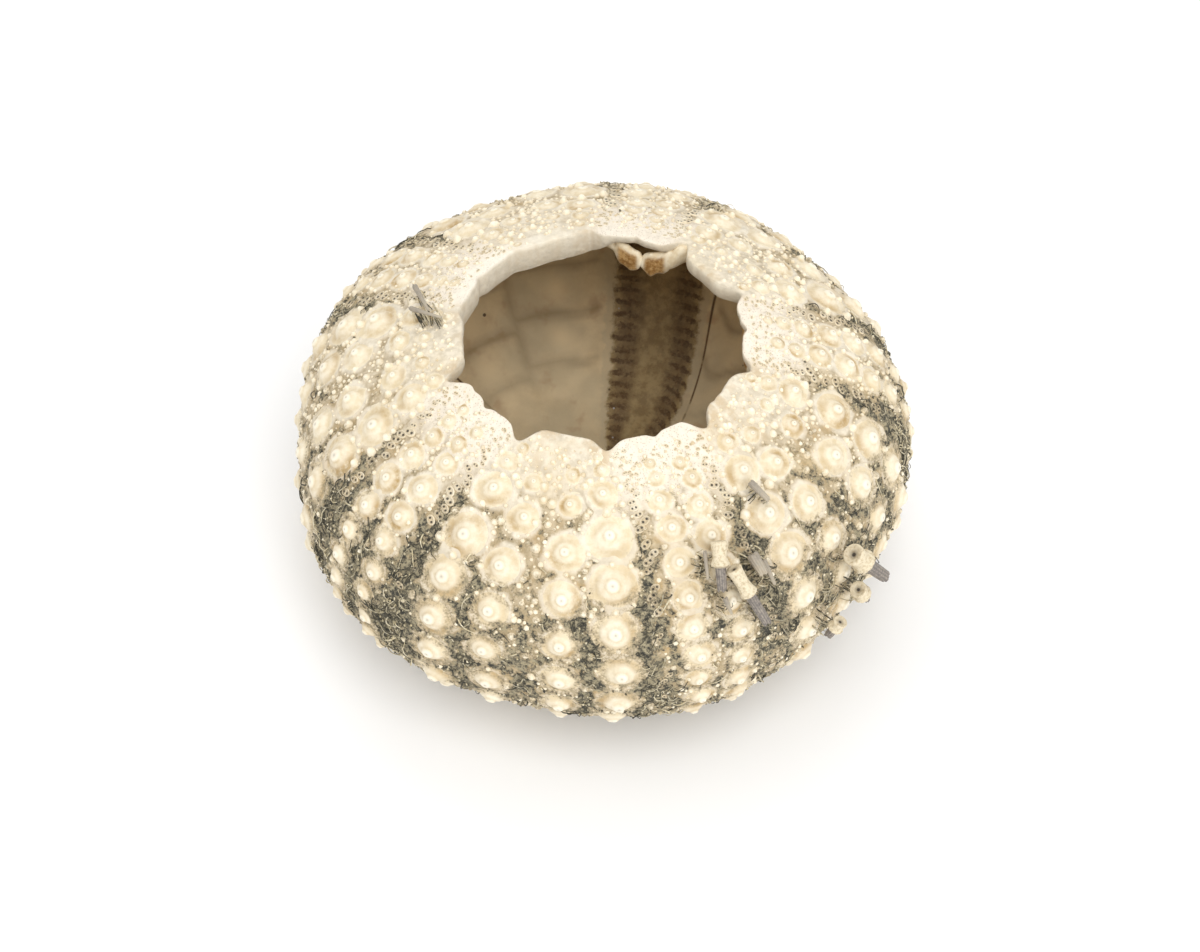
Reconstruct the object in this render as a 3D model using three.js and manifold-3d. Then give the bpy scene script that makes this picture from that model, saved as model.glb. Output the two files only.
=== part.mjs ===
// Dried shell (test) of a regular sea urchin, with a few broken spines still caught on it.
// Millimetres, +Z up. The shell lies on its apical side, which was the top of the living animal,
// so its wide mouth opening faces up. The origin is on the shell's axis, on the surface that it
// rests on. Azimuths are degrees from -Y towards +X.

import * as THREE from 'three';
import { mergeVertices } from 'three/addons/utils/BufferGeometryUtils.js';
import Module from 'manifold-3d';

// ---- Driving dimensions ----

// Outer surface, over the tips of the tubercles. Its half profile is two quarter superellipses
// that meet at the widest level, and the lower one is flattened where the shell rests.
const SHELL_RADIUS = 22.5;
const WIDEST_Z = 11.6;
const ORAL_RISE = 12.75;
const ORAL_POWER = 2.36;
const APICAL_DROP = 11.85;
const APICAL_POWER = 2.15;

// Inner surface, with the same two exponents.
const CAVITY_RADIUS = 20.5;
const CAVITY_RISE = 11.8;
const CAVITY_DROP = 10.5;

// Openings.
const MOUTH_RADIUS = 10.03;
const PERIPROCT_RADIUS = 1.7;
const PERIPROCT_BEVEL = 0.3;

// Five-fold plan: the ambulacra are the five narrow belts that carry the tube-foot pores.
const SECTOR = 72;
const FIRST_AMBULACRUM = 22;
const PLAN_BULGE = 0.016;

// The ambulacral belts have lower tubercles, and lowest of all are the rows of pores at their
// two edges, so the outer surface dips there.
const BELT_HALF_WIDTH = 12.5;
const BELT_DIP = 0.3;
const PORE_ROW_ANGLE = 9.5;
const PORE_ROW_SPREAD = 2.2;
const PORE_ROW_DIP = 0.2;

// The mouth's rim: ten lobes that reach inwards, one over each belt and one between, parted by
// ten gill notches. Both lists go round from the first ambulacrum.
const LOBE_REACHES = [0.6, 0.4, 0.25, 0.75, 0.75, 0.5, 0.1, 0.4, 0.15, 0.7];
const NOTCH_ANGLE = 19.5;
const NOTCH_SPREAD = 4.5;
const NOTCH_DEPTHS = [0.9, 1.25, 1.05, 1.1, 1.55, 0.5, 0.35, 0.35, 1.5, 1.2];
const CLEFT_DEPTH = 0.3;
const CLEFT_SPREAD = 2.5;
const RIM_LAP = 0.15;

// Inside the rim: the edge is thickened downwards between the belts, and most of all on one side.
const EDGE_DEPTH = 0.5;
const THICK_SIDE = { azimuth: 222, depth: 1.25, halfWidth: 50, fade: 16 };
const EDGE_FALL = [1.1, 3.2];

// An arch (auricle) stands over each ambulacrum except the fourth, where it is broken away.
const ARCH_ROUTE = [[18, 10.9, 22.45], [14.5, 10.3, 21.9], [10, 9.7, 21.3], [4.5, 9.45, 20.95]];
const ARCH_CROWN = [0, 9.45, 21.05];
const ARCH_BAR_RADIUS = 0.5;
const ARCH_PAD_ANGLE = 5.5;
const ARCH_PAD_HALF = [1.15, 0.5, 0.85];
const ARCHES = [
  { azimuth: 22, outwards: 0.1 }, { azimuth: 94, outwards: 0.75 },
  { azimuth: 162.5, outwards: 0 }, { azimuth: 310, outwards: 0.2 },
];

// Facets.
const SECTORS = 90;
const OUTER_RINGS = 18;
const INNER_RINGS = 11;
const ARCH_STEPS = 10;

// Spines. A place is [azimuth, distance down the shell from the rim, height above the shell].
// Each spine runs from its socketed base to its broken end.
const SPINES = {
  spine_1: { from: [49.9, 13.4, 1.35], to: [55.9, 17.1, 1.65], collar: 0.9, collarAt: 1.5, shaft: 0.5 },
  spine_2: { from: [49.5, 16.2, 1.08], to: [52.2, 18.2, 1.0], collar: 0.7, collarAt: 1.05, shaft: 0.36 },
  spine_3: { from: [43.1, 16.6, 1.6], to: [42.0, 18.2, 0.78], collar: 0.58, collarAt: 0.8, shaft: 0.34 },
  spine_4: { from: [25.4, 7.9, 1.1], to: [23.1, 10.85, 0.8], collar: 0.66, collarAt: 1.5, shaft: 0.37 },
  spine_5: { from: [26.2, 9.7, 1.15], to: [29.8, 13.95, 0.75], collar: 0.64, collarAt: 2.1, shaft: 0.37 },
};

// Splinters of spine shafts, straight and tapered.
const SPLINTERS = {
  splinter_1: { from: [23.35, 11.3, 0.7], to: [23.9, 12.4, 0.6], thick: 0.2, thin: 0.1 },
  splinter_2: { from: [31.2, 9.5, 0.8], to: [31.9, 10.9, 0.8], thick: 0.45, thin: 0.36 },
  splinter_3: { from: [33.2, 10.2, 0.6], to: [33.5, 11.9, 0.55], thick: 0.2, thin: 0.12 },
  splinter_4: { from: [22.3, 8.2, 0.6], to: [21.3, 9.9, 0.55], thick: 0.16, thin: 0.1 },
  splinter_5: { from: [39.4, 5.6, 0.65], to: [40.7, 7.2, 0.65], thick: 0.28, thin: 0.2 },
  splinter_6: { from: [-109.5, 3.7, 0.6], to: [-98.6, 1.9, 0.6], thick: 0.22, thin: 0.1 },
  splinter_7: { from: [-99.8, 3.3, 0.7], to: [-94.9, 0.9, 0.6], thick: 0.2, thin: 0.08 },
};

// ---- The shell's surfaces ----

const radians = THREE.MathUtils.degToRad;

// A half profile measured by its length, from just inside the mouth's rim down to the axis.
class Profile {
  constructor(radius, rise, drop, lowestZ) {
    const steps = 400;
    this.points = [];
    for (let i = 0; i <= 2 * steps; i++) {
      const angle = Math.PI / 2 * (1 - i / steps);
      const power = angle > 0 ? ORAL_POWER : APICAL_POWER;
      const r = radius * Math.cos(angle) ** (2 / power);
      const swing = Math.abs(Math.sin(angle)) ** (2 / power);
      const z = WIDEST_Z + (angle > 0 ? rise : -drop) * swing;
      this.points.push(new THREE.Vector2(r, Math.max(z, lowestZ)));
    }
    this.lengths = [0];
    for (let i = 1; i < this.points.length; i++) {
      this.lengths.push(this.lengths[i - 1] + this.points[i].distanceTo(this.points[i - 1]));
    }
    this.steps = steps;
  }

  // The place on the mouth side, or on the apical side, where the profile has this radius.
  distanceToRadius(radius, apical = false) {
    const first = apical ? this.steps : 0;
    const side = this.points.slice(first, first + this.steps + 1);
    const past = side.findIndex((p) => (apical ? p.x < radius : p.x > radius));
    const [a, b] = [first + past - 1, first + past];
    const part = (radius - this.points[a].x) / (this.points[b].x - this.points[a].x);
    return THREE.MathUtils.lerp(this.lengths[a], this.lengths[b], part);
  }

  pointAt(distance) {
    const b = Math.max(1, this.lengths.findIndex((length) => length >= distance));
    const span = this.lengths[b] - this.lengths[b - 1];
    const part = (distance - this.lengths[b - 1]) / span;
    return this.points[b - 1].clone().lerp(this.points[b], part);
  }

  // The unit normal, pointing out of the shell.
  normalAt(distance) {
    const reach = 0.4;
    const ahead = this.pointAt(distance + reach);
    const along = ahead.sub(this.pointAt(distance - reach)).normalize();
    return new THREE.Vector2(-along.y, along.x);
  }
}

const outerProfile = new Profile(SHELL_RADIUS, ORAL_RISE, APICAL_DROP, 0);
const innerProfile = new Profile(CAVITY_RADIUS, CAVITY_RISE, CAVITY_DROP, 0);
const outerRimStart = outerProfile.distanceToRadius(MOUTH_RADIUS);
const outerEnd = outerProfile.distanceToRadius(PERIPROCT_RADIUS, true);
const innerEnd = innerProfile.distanceToRadius(PERIPROCT_RADIUS + PERIPROCT_BEVEL, true);

// Angle from the middle of the nearest ambulacrum, in degrees, from -36 to 36.
function angleInSector(azimuth) {
  const turned = azimuth - FIRST_AMBULACRUM + SECTOR / 2;
  return THREE.MathUtils.euclideanModulo(turned, SECTOR) - SECTOR / 2;
}

function sectorIndex(azimuth) {
  return THREE.MathUtils.euclideanModulo(Math.round((azimuth - FIRST_AMBULACRUM) / SECTOR), 5);
}

const bell = (x, spread) => Math.exp(-((x / spread) ** 2));

// How far the lobes reach inwards at an azimuth, from one lobe to the next.
function lobeReach(azimuth) {
  const place = THREE.MathUtils.euclideanModulo(azimuth - FIRST_AMBULACRUM, 360) / (SECTOR / 2);
  const first = Math.floor(place);
  const share = THREE.MathUtils.smoothstep(place - first, 0.33, 0.75);
  return THREE.MathUtils.lerp(LOBE_REACHES[first], LOBE_REACHES[(first + 1) % 10], share);
}

// How far the rim stands back from the mouth's mean circle, along the shell.
function rimSetBack(azimuth) {
  const angle = angleInSector(azimuth);
  const side = angle < 0 ? 0 : 1;
  const depth = NOTCH_DEPTHS[2 * sectorIndex(azimuth) + side];
  const notch = depth * bell(Math.abs(angle) - NOTCH_ANGLE, NOTCH_SPREAD);
  return -lobeReach(azimuth) + notch + CLEFT_DEPTH * bell(angle, CLEFT_SPREAD);
}

// How far the rim's edge is thickened downwards.
function edgeDepth(azimuth) {
  const between = THREE.MathUtils.smoothstep(Math.abs(angleInSector(azimuth)), 14, 22);
  const turned = THREE.MathUtils.euclideanModulo(azimuth - THICK_SIDE.azimuth + 180, 360) - 180;
  const { depth, halfWidth, fade } = THICK_SIDE;
  const side = 1 - THREE.MathUtils.smoothstep(Math.abs(turned), halfWidth - fade, halfWidth);
  return Math.max(EDGE_DEPTH * between, depth * side);
}

// How far the outer surface dips in the ambulacral belts. It fades out at both openings.
function beltDip(azimuth, distance) {
  const angle = Math.abs(angleInSector(azimuth));
  const fade = THREE.MathUtils.smoothstep(distance, 2, 7)
    * (1 - THREE.MathUtils.smoothstep(distance, 34, 40));
  const belt = 1 - THREE.MathUtils.smoothstep(angle, BELT_HALF_WIDTH - 3, BELT_HALF_WIDTH);
  return fade * (BELT_DIP * belt + PORE_ROW_DIP * bell(angle - PORE_ROW_ANGLE, PORE_ROW_SPREAD));
}

// Turns a half-profile point to its azimuth and swells it into the five-fold plan.
function placeAround(azimuth, point) {
  const share = (point.x / SHELL_RADIUS) ** 2;
  const swell = 1 + PLAN_BULGE * share * Math.cos(5 * radians(azimuth - FIRST_AMBULACRUM));
  const r = point.x * swell;
  return new THREE.Vector3(r * Math.sin(radians(azimuth)), -r * Math.cos(radians(azimuth)), point.y);
}

// A point over the outer surface: distance is measured from the mouth's mean circle.
function abovePoint(azimuth, distance, height) {
  const along = outerRimStart + distance;
  const point = outerProfile.pointAt(along);
  return placeAround(azimuth, point.addScaledVector(outerProfile.normalAt(along), height));
}

function outerPoint(azimuth, part) {
  const rim = rimSetBack(azimuth);
  const distance = THREE.MathUtils.lerp(rim, outerEnd - outerRimStart, part);
  return abovePoint(azimuth, distance, -beltDip(azimuth, distance));
}

function innerPoint(azimuth, part) {
  const rimRadius = outerProfile.pointAt(outerRimStart + rimSetBack(azimuth)).x + RIM_LAP;
  const rim = innerProfile.distanceToRadius(rimRadius);
  const distance = THREE.MathUtils.lerp(rim, innerEnd, part);
  const thickening = edgeDepth(azimuth) * (1 - THREE.MathUtils.smoothstep(distance - rim, ...EDGE_FALL));
  const point = innerProfile.pointAt(distance);
  return placeAround(azimuth, point.addScaledVector(innerProfile.normalAt(distance), -thickening));
}

// ---- Geometry helpers ----

// Keeps only position and joins shared vertices, so that the mesh is closed.
function closeGeometry(geometry) {
  geometry.deleteAttribute('normal');
  geometry.deleteAttribute('uv');
  return mergeVertices(geometry, 1e-4);
}

// The shell as a lathed ring whose profile goes up the outside and comes back down the inside.
// Every vertex is then moved to its own place on the shell.
function shellWallGeometry() {
  const rows = OUTER_RINGS + INNER_RINGS;
  const profile = [];
  for (let j = 0; j <= rows; j++) {
    const turn = 2 * Math.PI * j / rows;
    profile.push(new THREE.Vector2(2 + Math.cos(turn), Math.sin(turn)));
  }
  const geometry = new THREE.LatheGeometry(profile, SECTORS);
  const position = geometry.attributes.position;
  for (let i = 0; i <= SECTORS; i++) {
    const azimuth = FIRST_AMBULACRUM + 360 / SECTORS * (i % SECTORS);
    for (let j = 0; j <= rows; j++) {
      const row = j % rows;
      const point = row < OUTER_RINGS
        ? outerPoint(azimuth, (1 - row / (OUTER_RINGS - 1)) ** 1.15)
        : innerPoint(azimuth, (row - OUTER_RINGS) / (INNER_RINGS - 1));
      position.setXYZ(i * (rows + 1) + j, point.x, point.y, point.z);
    }
  }
  return closeGeometry(geometry);
}

function ringPoint([angle, radius, z], { azimuth, outwards }) {
  const turn = radians(azimuth + angle);
  const r = radius + outwards;
  return new THREE.Vector3(r * Math.sin(turn), -r * Math.cos(turn), z);
}

// One arch: a bar from foot to foot, each foot sunk in the wall.
function archBarGeometry(arch) {
  const mirrored = ARCH_ROUTE.map(([angle, radius, z]) => [-angle, radius, z]).reverse();
  const route = [...ARCH_ROUTE, ARCH_CROWN, ...mirrored];
  const curve = new THREE.CatmullRomCurve3(route.map((point) => ringPoint(point, arch)));
  const section = new THREE.Shape().absarc(0, 0, ARCH_BAR_RADIUS, 0, 2 * Math.PI);
  const settings = { steps: ARCH_STEPS, curveSegments: 4, extrudePath: curve, bevelEnabled: false };
  return closeGeometry(new THREE.ExtrudeGeometry(section, settings));
}

function archPadGeometry(arch, angle) {
  const centre = ringPoint([angle, ARCH_CROWN[1], ARCH_CROWN[2]], arch);
  const geometry = new THREE.SphereGeometry(1, 8, 6);
  geometry.rotateX(Math.PI / 2);
  geometry.scale(...ARCH_PAD_HALF);
  geometry.rotateZ(radians(arch.azimuth + angle));
  geometry.translate(centre.x, centre.y, centre.z);
  return closeGeometry(geometry);
}

// ---- Booleans ----

const wasm = await Module();
wasm.setup();

function toManifold(geometry) {
  return new wasm.Manifold(new wasm.Mesh({
    numProp: 3,
    vertProperties: new Float32Array(geometry.attributes.position.array),
    triVerts: new Uint32Array(geometry.index.array),
  }));
}

function toGeometry(manifold) {
  const mesh = manifold.getMesh();
  const geometry = new THREE.BufferGeometry();
  geometry.setAttribute('position', new THREE.BufferAttribute(mesh.vertProperties, 3));
  geometry.setIndex(new THREE.BufferAttribute(mesh.triVerts, 1));
  geometry.computeVertexNormals();
  return geometry;
}

function shellGeometry() {
  let solid = toManifold(shellWallGeometry());
  for (const arch of ARCHES) {
    solid = solid.add(toManifold(archBarGeometry(arch)));
    for (const side of [-1, 1]) {
      solid = solid.add(toManifold(archPadGeometry(arch, side * ARCH_PAD_ANGLE)));
    }
  }
  return toGeometry(solid);
}

// ---- Spines ----

// A spine's half profile along its own axis: hollow socket, swollen base, neck, milled collar,
// then the shaft to its broken end.
function spineGeometry(length, collar, collarAt, shaft) {
  const base = 0.85 * collar;
  const neck = 0.72 * collar;
  const profile = [
    [0, 0.28 * base], [0.3 * base, 0.2 * base], [0.55 * base, 0], [0.9 * base, 0.1 * base],
    [base, 0.4 * base], [neck, 0.72 * collarAt], [collar, collarAt],
    [0.97 * collar, collarAt + 0.14 * collar], [shaft, collarAt + 0.4 * collar],
    [0.86 * shaft, length - 0.1], [0.6 * shaft, length], [0, length],
  ].map(([r, along]) => new THREE.Vector2(r, along));
  return closeGeometry(new THREE.LatheGeometry(profile, 12));
}

function splinterGeometry(length, thick, thin) {
  const profile = [[0, 0], [0.7 * thick, 0], [thick, 0.25 * length], [thin, 0.96 * length], [0, length]];
  return closeGeometry(new THREE.LatheGeometry(profile.map((p) => new THREE.Vector2(...p)), 6));
}

// ---- Assembly ----

const chalk = new THREE.MeshStandardMaterial({ color: 0xded0b2, roughness: 0.85, metalness: 0 });
const boneWhite = new THREE.MeshStandardMaterial({ color: 0xe3d8c2, roughness: 0.75, metalness: 0 });
const greyViolet = new THREE.MeshStandardMaterial({ color: 0x8d8580, roughness: 0.7, metalness: 0 });

const urchin = new THREE.Group();

function addMesh(name, geometry, material) {
  const mesh = new THREE.Mesh(geometry, material.clone());
  mesh.name = name;
  urchin.add(mesh);
  return mesh;
}

// Stands a piece modelled along +Y between two places on the shell.
function addAlong(name, { from, to }, material, makeGeometry) {
  const start = abovePoint(...from);
  const along = abovePoint(...to).sub(start);
  const mesh = addMesh(name, makeGeometry(along.length()), material);
  mesh.position.copy(start);
  mesh.quaternion.setFromUnitVectors(new THREE.Vector3(0, 1, 0), along.normalize());
}

addMesh('test', shellGeometry(), chalk);
for (const [name, spine] of Object.entries(SPINES)) {
  const { collar, collarAt, shaft } = spine;
  addAlong(name, spine, boneWhite, (length) => spineGeometry(length, collar, collarAt, shaft));
}
for (const [name, splinter] of Object.entries(SPLINTERS)) {
  const { thick, thin } = splinter;
  addAlong(name, splinter, greyViolet, (length) => splinterGeometry(length, thick, thin));
}

export default urchin;
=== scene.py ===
"""Looks of a dried sea urchin shell lying mouth side up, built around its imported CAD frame.

Shapes are worked out in millimetres and turned into metres when a mesh is made. Azimuths are degrees from
-Y towards +X, and a distance is measured down the outside of the shell from the mouth's mean circle, as in
the CAD source.
"""

import math

import bpy
import numpy as np
from mathutils import Matrix, Vector


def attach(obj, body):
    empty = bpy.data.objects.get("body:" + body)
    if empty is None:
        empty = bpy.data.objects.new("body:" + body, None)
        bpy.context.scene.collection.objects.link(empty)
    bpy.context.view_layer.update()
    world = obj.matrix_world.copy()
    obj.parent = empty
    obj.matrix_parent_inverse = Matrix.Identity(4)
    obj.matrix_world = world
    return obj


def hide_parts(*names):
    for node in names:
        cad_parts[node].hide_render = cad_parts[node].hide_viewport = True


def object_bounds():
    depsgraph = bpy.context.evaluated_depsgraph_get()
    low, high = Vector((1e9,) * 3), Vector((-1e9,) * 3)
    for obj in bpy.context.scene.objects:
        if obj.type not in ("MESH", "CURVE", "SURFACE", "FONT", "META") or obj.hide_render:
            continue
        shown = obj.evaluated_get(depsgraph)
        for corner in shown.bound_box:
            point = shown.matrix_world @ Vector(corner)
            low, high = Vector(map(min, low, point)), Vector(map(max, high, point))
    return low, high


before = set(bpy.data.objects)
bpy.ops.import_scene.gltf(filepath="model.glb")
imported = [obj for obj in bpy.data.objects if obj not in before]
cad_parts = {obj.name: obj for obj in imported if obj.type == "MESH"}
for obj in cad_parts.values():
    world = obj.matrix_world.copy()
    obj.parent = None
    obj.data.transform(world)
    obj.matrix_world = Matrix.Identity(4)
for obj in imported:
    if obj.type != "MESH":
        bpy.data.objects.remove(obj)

CAD_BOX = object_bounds()
MM = 0.001
WHOLE_TURN = 2 * math.pi
rng = np.random.default_rng(7)

# ---- The shell's measures, as in the CAD source ----

SHELL_RADIUS, WIDEST_Z = 22.5, 11.6
ORAL_RISE, ORAL_POWER = 12.75, 2.36
APICAL_DROP, APICAL_POWER = 11.85, 2.15
CAVITY_RADIUS, CAVITY_RISE, CAVITY_DROP = 20.5, 11.8, 10.5
MOUTH_RADIUS, DISC_RADIUS, PERIPROCT_RADIUS, PERIPROCT_BEVEL = 10.03, 4.3, 1.7, 0.3
SECTOR, FIRST_AMBULACRUM, PLAN_BULGE = 72, 22, 0.016
LOBE_REACHES = np.array([0.6, 0.4, 0.25, 0.75, 0.75, 0.5, 0.1, 0.4, 0.15, 0.7])
NOTCH_ANGLE, NOTCH_SPREAD = 19.5, 4.5
NOTCH_DEPTHS = np.array([0.9, 1.25, 1.05, 1.1, 1.55, 0.5, 0.35, 0.35, 1.5, 1.2])
CLEFT_DEPTH, CLEFT_SPREAD, RIM_LAP = 0.3, 2.5, 0.15
EDGE_DEPTH, EDGE_FALL = 0.5, (1.1, 3.2)
THICK_SIDE_AZIMUTH, THICK_SIDE_DEPTH, THICK_SIDE_HALF_WIDTH, THICK_SIDE_FADE = 222, 1.25, 50, 16

# The base skin lies under the tubercles' tips by this much: a constant, and a share of the plate height.
SKIN_DEPTH, SKIN_DEPTH_SHARE = 0.1, 0.19


def smoothstep(x, low, high):
    t = np.clip((x - low) / (high - low), 0, 1)
    return t * t * (3 - 2 * t)


def bell(x, spread):
    return np.exp(-((x / spread) ** 2))


def lerp(a, b, t):
    return a + (b - a) * t


def arc(angle, radius):
    """Length of an angle in degrees at a radius."""
    return angle * np.radians(1) * radius


def around(count, whole=360):
    return np.arange(count) * whole / count


def upright(rows):
    """The columns of a table, each one still upright, to be spread over the points of a form."""
    return rows.T[:, :, None]


def rotated(x, y, turn):
    return x * np.cos(turn) - y * np.sin(turn), x * np.sin(turn) + y * np.cos(turn)


def turned_from(azimuth, middle, whole=360):
    """Angle from a middle, the short way round."""
    return (azimuth - middle + whole / 2) % whole - whole / 2


# ---- Surfaces of the shell ----


def place_around(azimuth, r, z):
    turn, r, z = np.broadcast_arrays(np.radians(azimuth), r, z)
    swell = 1 + PLAN_BULGE * (r / SHELL_RADIUS) ** 2 * np.cos(5 * (turn - math.radians(FIRST_AMBULACRUM)))
    return np.stack([r * swell * np.sin(turn), -r * swell * np.cos(turn), z], axis=-1)


class Profile:
    """Half profile of two quarter superellipses, measured by its length from the crown on the mouth side."""

    def __init__(self, radius, rise, drop, steps=800):
        angle = np.linspace(math.pi / 2, -math.pi / 2, 2 * steps + 1)
        upper = angle > 0
        power = np.where(upper, ORAL_POWER, APICAL_POWER)
        self.r = radius * np.cos(angle) ** (2 / power)
        swing = np.abs(np.sin(angle)) ** (2 / power)
        self.z = np.maximum(WIDEST_Z + np.where(upper, rise, -drop) * swing, 0)
        self.length = np.concatenate([[0], np.cumsum(np.hypot(np.diff(self.r), np.diff(self.z)))])
        self.widest = self.length[steps]

    def at(self, along):
        return np.interp(along, self.length, self.r), np.interp(along, self.length, self.z)

    def point(self, azimuth, along, out, reach=0.4):
        """A point of the surface, moved outwards by out."""
        (r, z), (r1, z1), (r2, z2) = self.at(along), self.at(along - reach), self.at(along + reach)
        size = np.hypot(r2 - r1, z2 - z1)
        return place_around(azimuth, r - (z2 - z1) / size * out, z + (r2 - r1) / size * out)

    def to_radius(self, radius, apical=False):
        side = self.length >= self.widest if apical else self.length <= self.widest
        order = slice(None, None, -1 if apical else 1)
        return np.interp(radius, self.r[side][order], self.length[side][order])


outer = Profile(SHELL_RADIUS, ORAL_RISE, APICAL_DROP)
inner = Profile(CAVITY_RADIUS, CAVITY_RISE, CAVITY_DROP)
RIM_START = outer.to_radius(MOUTH_RADIUS)
SHELL_END = outer.to_radius(PERIPROCT_RADIUS, apical=True) - RIM_START
INNER_END = inner.to_radius(PERIPROCT_RADIUS + PERIPROCT_BEVEL, apical=True)
DISC_EDGE = outer.to_radius(DISC_RADIUS, apical=True) - RIM_START


def outside_point(azimuth, distance, height):
    return outer.point(azimuth, RIM_START + distance, height)


def ring_radius(distance):
    return outer.at(RIM_START + distance)[0]


def angle_in_sector(azimuth):
    """Angle from the middle of the nearest ambulacrum, from -36 to 36."""
    return turned_from(azimuth, FIRST_AMBULACRUM, SECTOR)


def sector_index(azimuth):
    return np.round((azimuth - FIRST_AMBULACRUM) / SECTOR).astype(int) % 5


def belt_side(azimuth):
    """Number of the nearest side of an ambulacrum, left then right seen from outside with the mouth up."""
    return 2 * sector_index(azimuth) + (angle_in_sector(azimuth) >= 0)


def waves(azimuth, counts, seed):
    """A smooth wavy value round the shell, from about -1 to 1."""
    pick = np.random.default_rng(seed)
    turn = np.radians(azimuth)
    return sum(np.sin(turn * n + pick.uniform(0, WHOLE_TURN)) / len(counts) for n in counts) * 1.4


def rim_set_back(azimuth):
    """How far the rim stands back from the mouth's mean circle, with its lobes and notches."""
    azimuth = np.asarray(azimuth, float)
    angle = angle_in_sector(azimuth)
    place = ((azimuth - FIRST_AMBULACRUM) % 360) / (SECTOR / 2)
    first = np.floor(place).astype(int)
    near, far = LOBE_REACHES[first % 10], LOBE_REACHES[(first + 1) % 10]
    lobe = lerp(near, far, smoothstep(place - first, 0.33, 0.75))
    notch = NOTCH_DEPTHS[belt_side(azimuth)] * bell(np.abs(angle) - NOTCH_ANGLE, NOTCH_SPREAD)
    ragged = 0.06 * waves(azimuth, (17, 29, 41, 63), 3) * waves(azimuth, (5, 8, 11), 4)
    return -lobe + notch + CLEFT_DEPTH * bell(angle, CLEFT_SPREAD) + ragged


def edge_depth(azimuth):
    """How far the rim's edge is thickened downwards: between the belts, and most of all on one side."""
    between = smoothstep(np.abs(angle_in_sector(azimuth)), 14, 22)
    turned = np.abs(turned_from(azimuth, THICK_SIDE_AZIMUTH))
    side = 1 - smoothstep(turned, THICK_SIDE_HALF_WIDTH - THICK_SIDE_FADE, THICK_SIDE_HALF_WIDTH)
    return np.maximum(EDGE_DEPTH * between, THICK_SIDE_DEPTH * side)


# ---- Plates: where the tubercles, pores and sutures are ----

# One anchor for each of the two columns of a zone, left then right seen from outside with the mouth up.
PLATE_ANCHORS = ((8.0, 7.4), (8.2, 6.6), (7.6, 9.2), (6.5, 7.3), (8.0, 6.2))
BELT_ANCHORS = ((8.4, 7.4), (7.8, 8.9), (8.2, 7.2), (7.5, 8.6), (8.3, 9.3))

# Rows of tubercles, as shares of a zone's half width, and how far the inner row lags in plate heights.
OUTER_ROW, INNER_ROW, INNER_ROW_LAG, INNER_SIZE = 0.73, 0.29, 0.38, 0.86
BELT_ROW = 4.1
AREOLE_SHARE, BELT_BOSS_SHARE = 0.56, 0.235
# Plates shorter than the first have no inner tubercle. Belt plates nearer the rim than the second have none.
SMALLEST_WITH_TWO, FIRST_BELT_TUBERCLE = 1.1, 1.2
# How far below the rim a tubercle, small tubercle, granule or pore pair has to lie.
TUBERCLE_MARGIN, SECONDARY_MARGIN, GRANULE_MARGIN, PORE_MARGIN = 0.7, 0.45, 0.3, 0.35
SECONDARY_SPOTS = ((0.97, -0.25), (0.98, 0.3), (0.52, -0.42), (0.5, 0.62), (0.06, -0.1), (0.09, 0.45),
                   (0.74, 0.5))
BELT_SECONDARY_SPOTS = ((0.8, 0.45), (BELT_ROW + 2.3, 0.5), (BELT_ROW + 2.6, 0.0))
SECONDARY_RADII, BELT_SECONDARY_RADII = (0.24, 0.4), (0.17, 0.27)


def height_between(distance, tallest, at_mouth, growth_down, at_disc, growth_up):
    """Height of a plate: tallest near the widest level, small at the mouth and at the apical disc."""
    from_ends = at_mouth + growth_down * np.maximum(distance, 0), at_disc + growth_up * (DISC_EDGE - distance)
    return np.minimum(tallest, np.minimum(*from_ends))


def plate_height(distance):
    return height_between(distance, 3.4, 0.5, 0.5, 0.85, 0.115)


def belt_plate_height(distance):
    return height_between(distance, 2.35, 0.6, 0.27, 0.75, 0.085)


def skin_depth(distance):
    return SKIN_DEPTH + SKIN_DEPTH_SHARE * plate_height(distance)


def belt_edge(distance):
    """Half width of an ambulacrum in degrees: wide at the mouth, where its pores spread out."""
    return 12.2 + 7 * np.exp(-np.maximum(distance, 0) / 3.5)


def belt_row(distance):
    """Angle between an ambulacrum's middle and its rows of tubercles."""
    return BELT_ROW * (1 + 0.35 * math.exp(-distance / 3))


def zone_half_width(distance):
    return SECTOR / 2 - belt_edge(distance)


def ladder(anchor, height):
    """Distances of a column's plates, stepping both ways from one plate by the local plate height."""
    down, up = [anchor], [anchor]
    while down[-1] < DISC_EDGE - 0.2:
        down.append(down[-1] + height(down[-1] + 0.5 * height(down[-1])))
    while up[-1] >= 0.1:
        up.append(up[-1] - height(up[-1] - 0.45 * height(up[-1])))
    return up[-2:0:-1] + down[:-1]


def list_plates(anchors, shift, height):
    """(zone middle, side, distance, height) of every plate of the five zones."""
    return [(FIRST_AMBULACRUM + SECTOR * (zone + shift), side, distance, height(distance))
            for zone, pair in enumerate(anchors) for side, anchor in zip((-1, 1), pair)
            for distance in ladder(anchor, height)]


PLATES = list_plates(PLATE_ANCHORS, 0.5, plate_height)
BELT_PLATES = list_plates(BELT_ANCHORS, 0, belt_plate_height)


def on_shell(rows, margin):
    """Only the places that lie below the rim by a margin."""
    return rows[rows[:, 1] > rim_set_back(rows[:, 0]) + margin]


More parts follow.
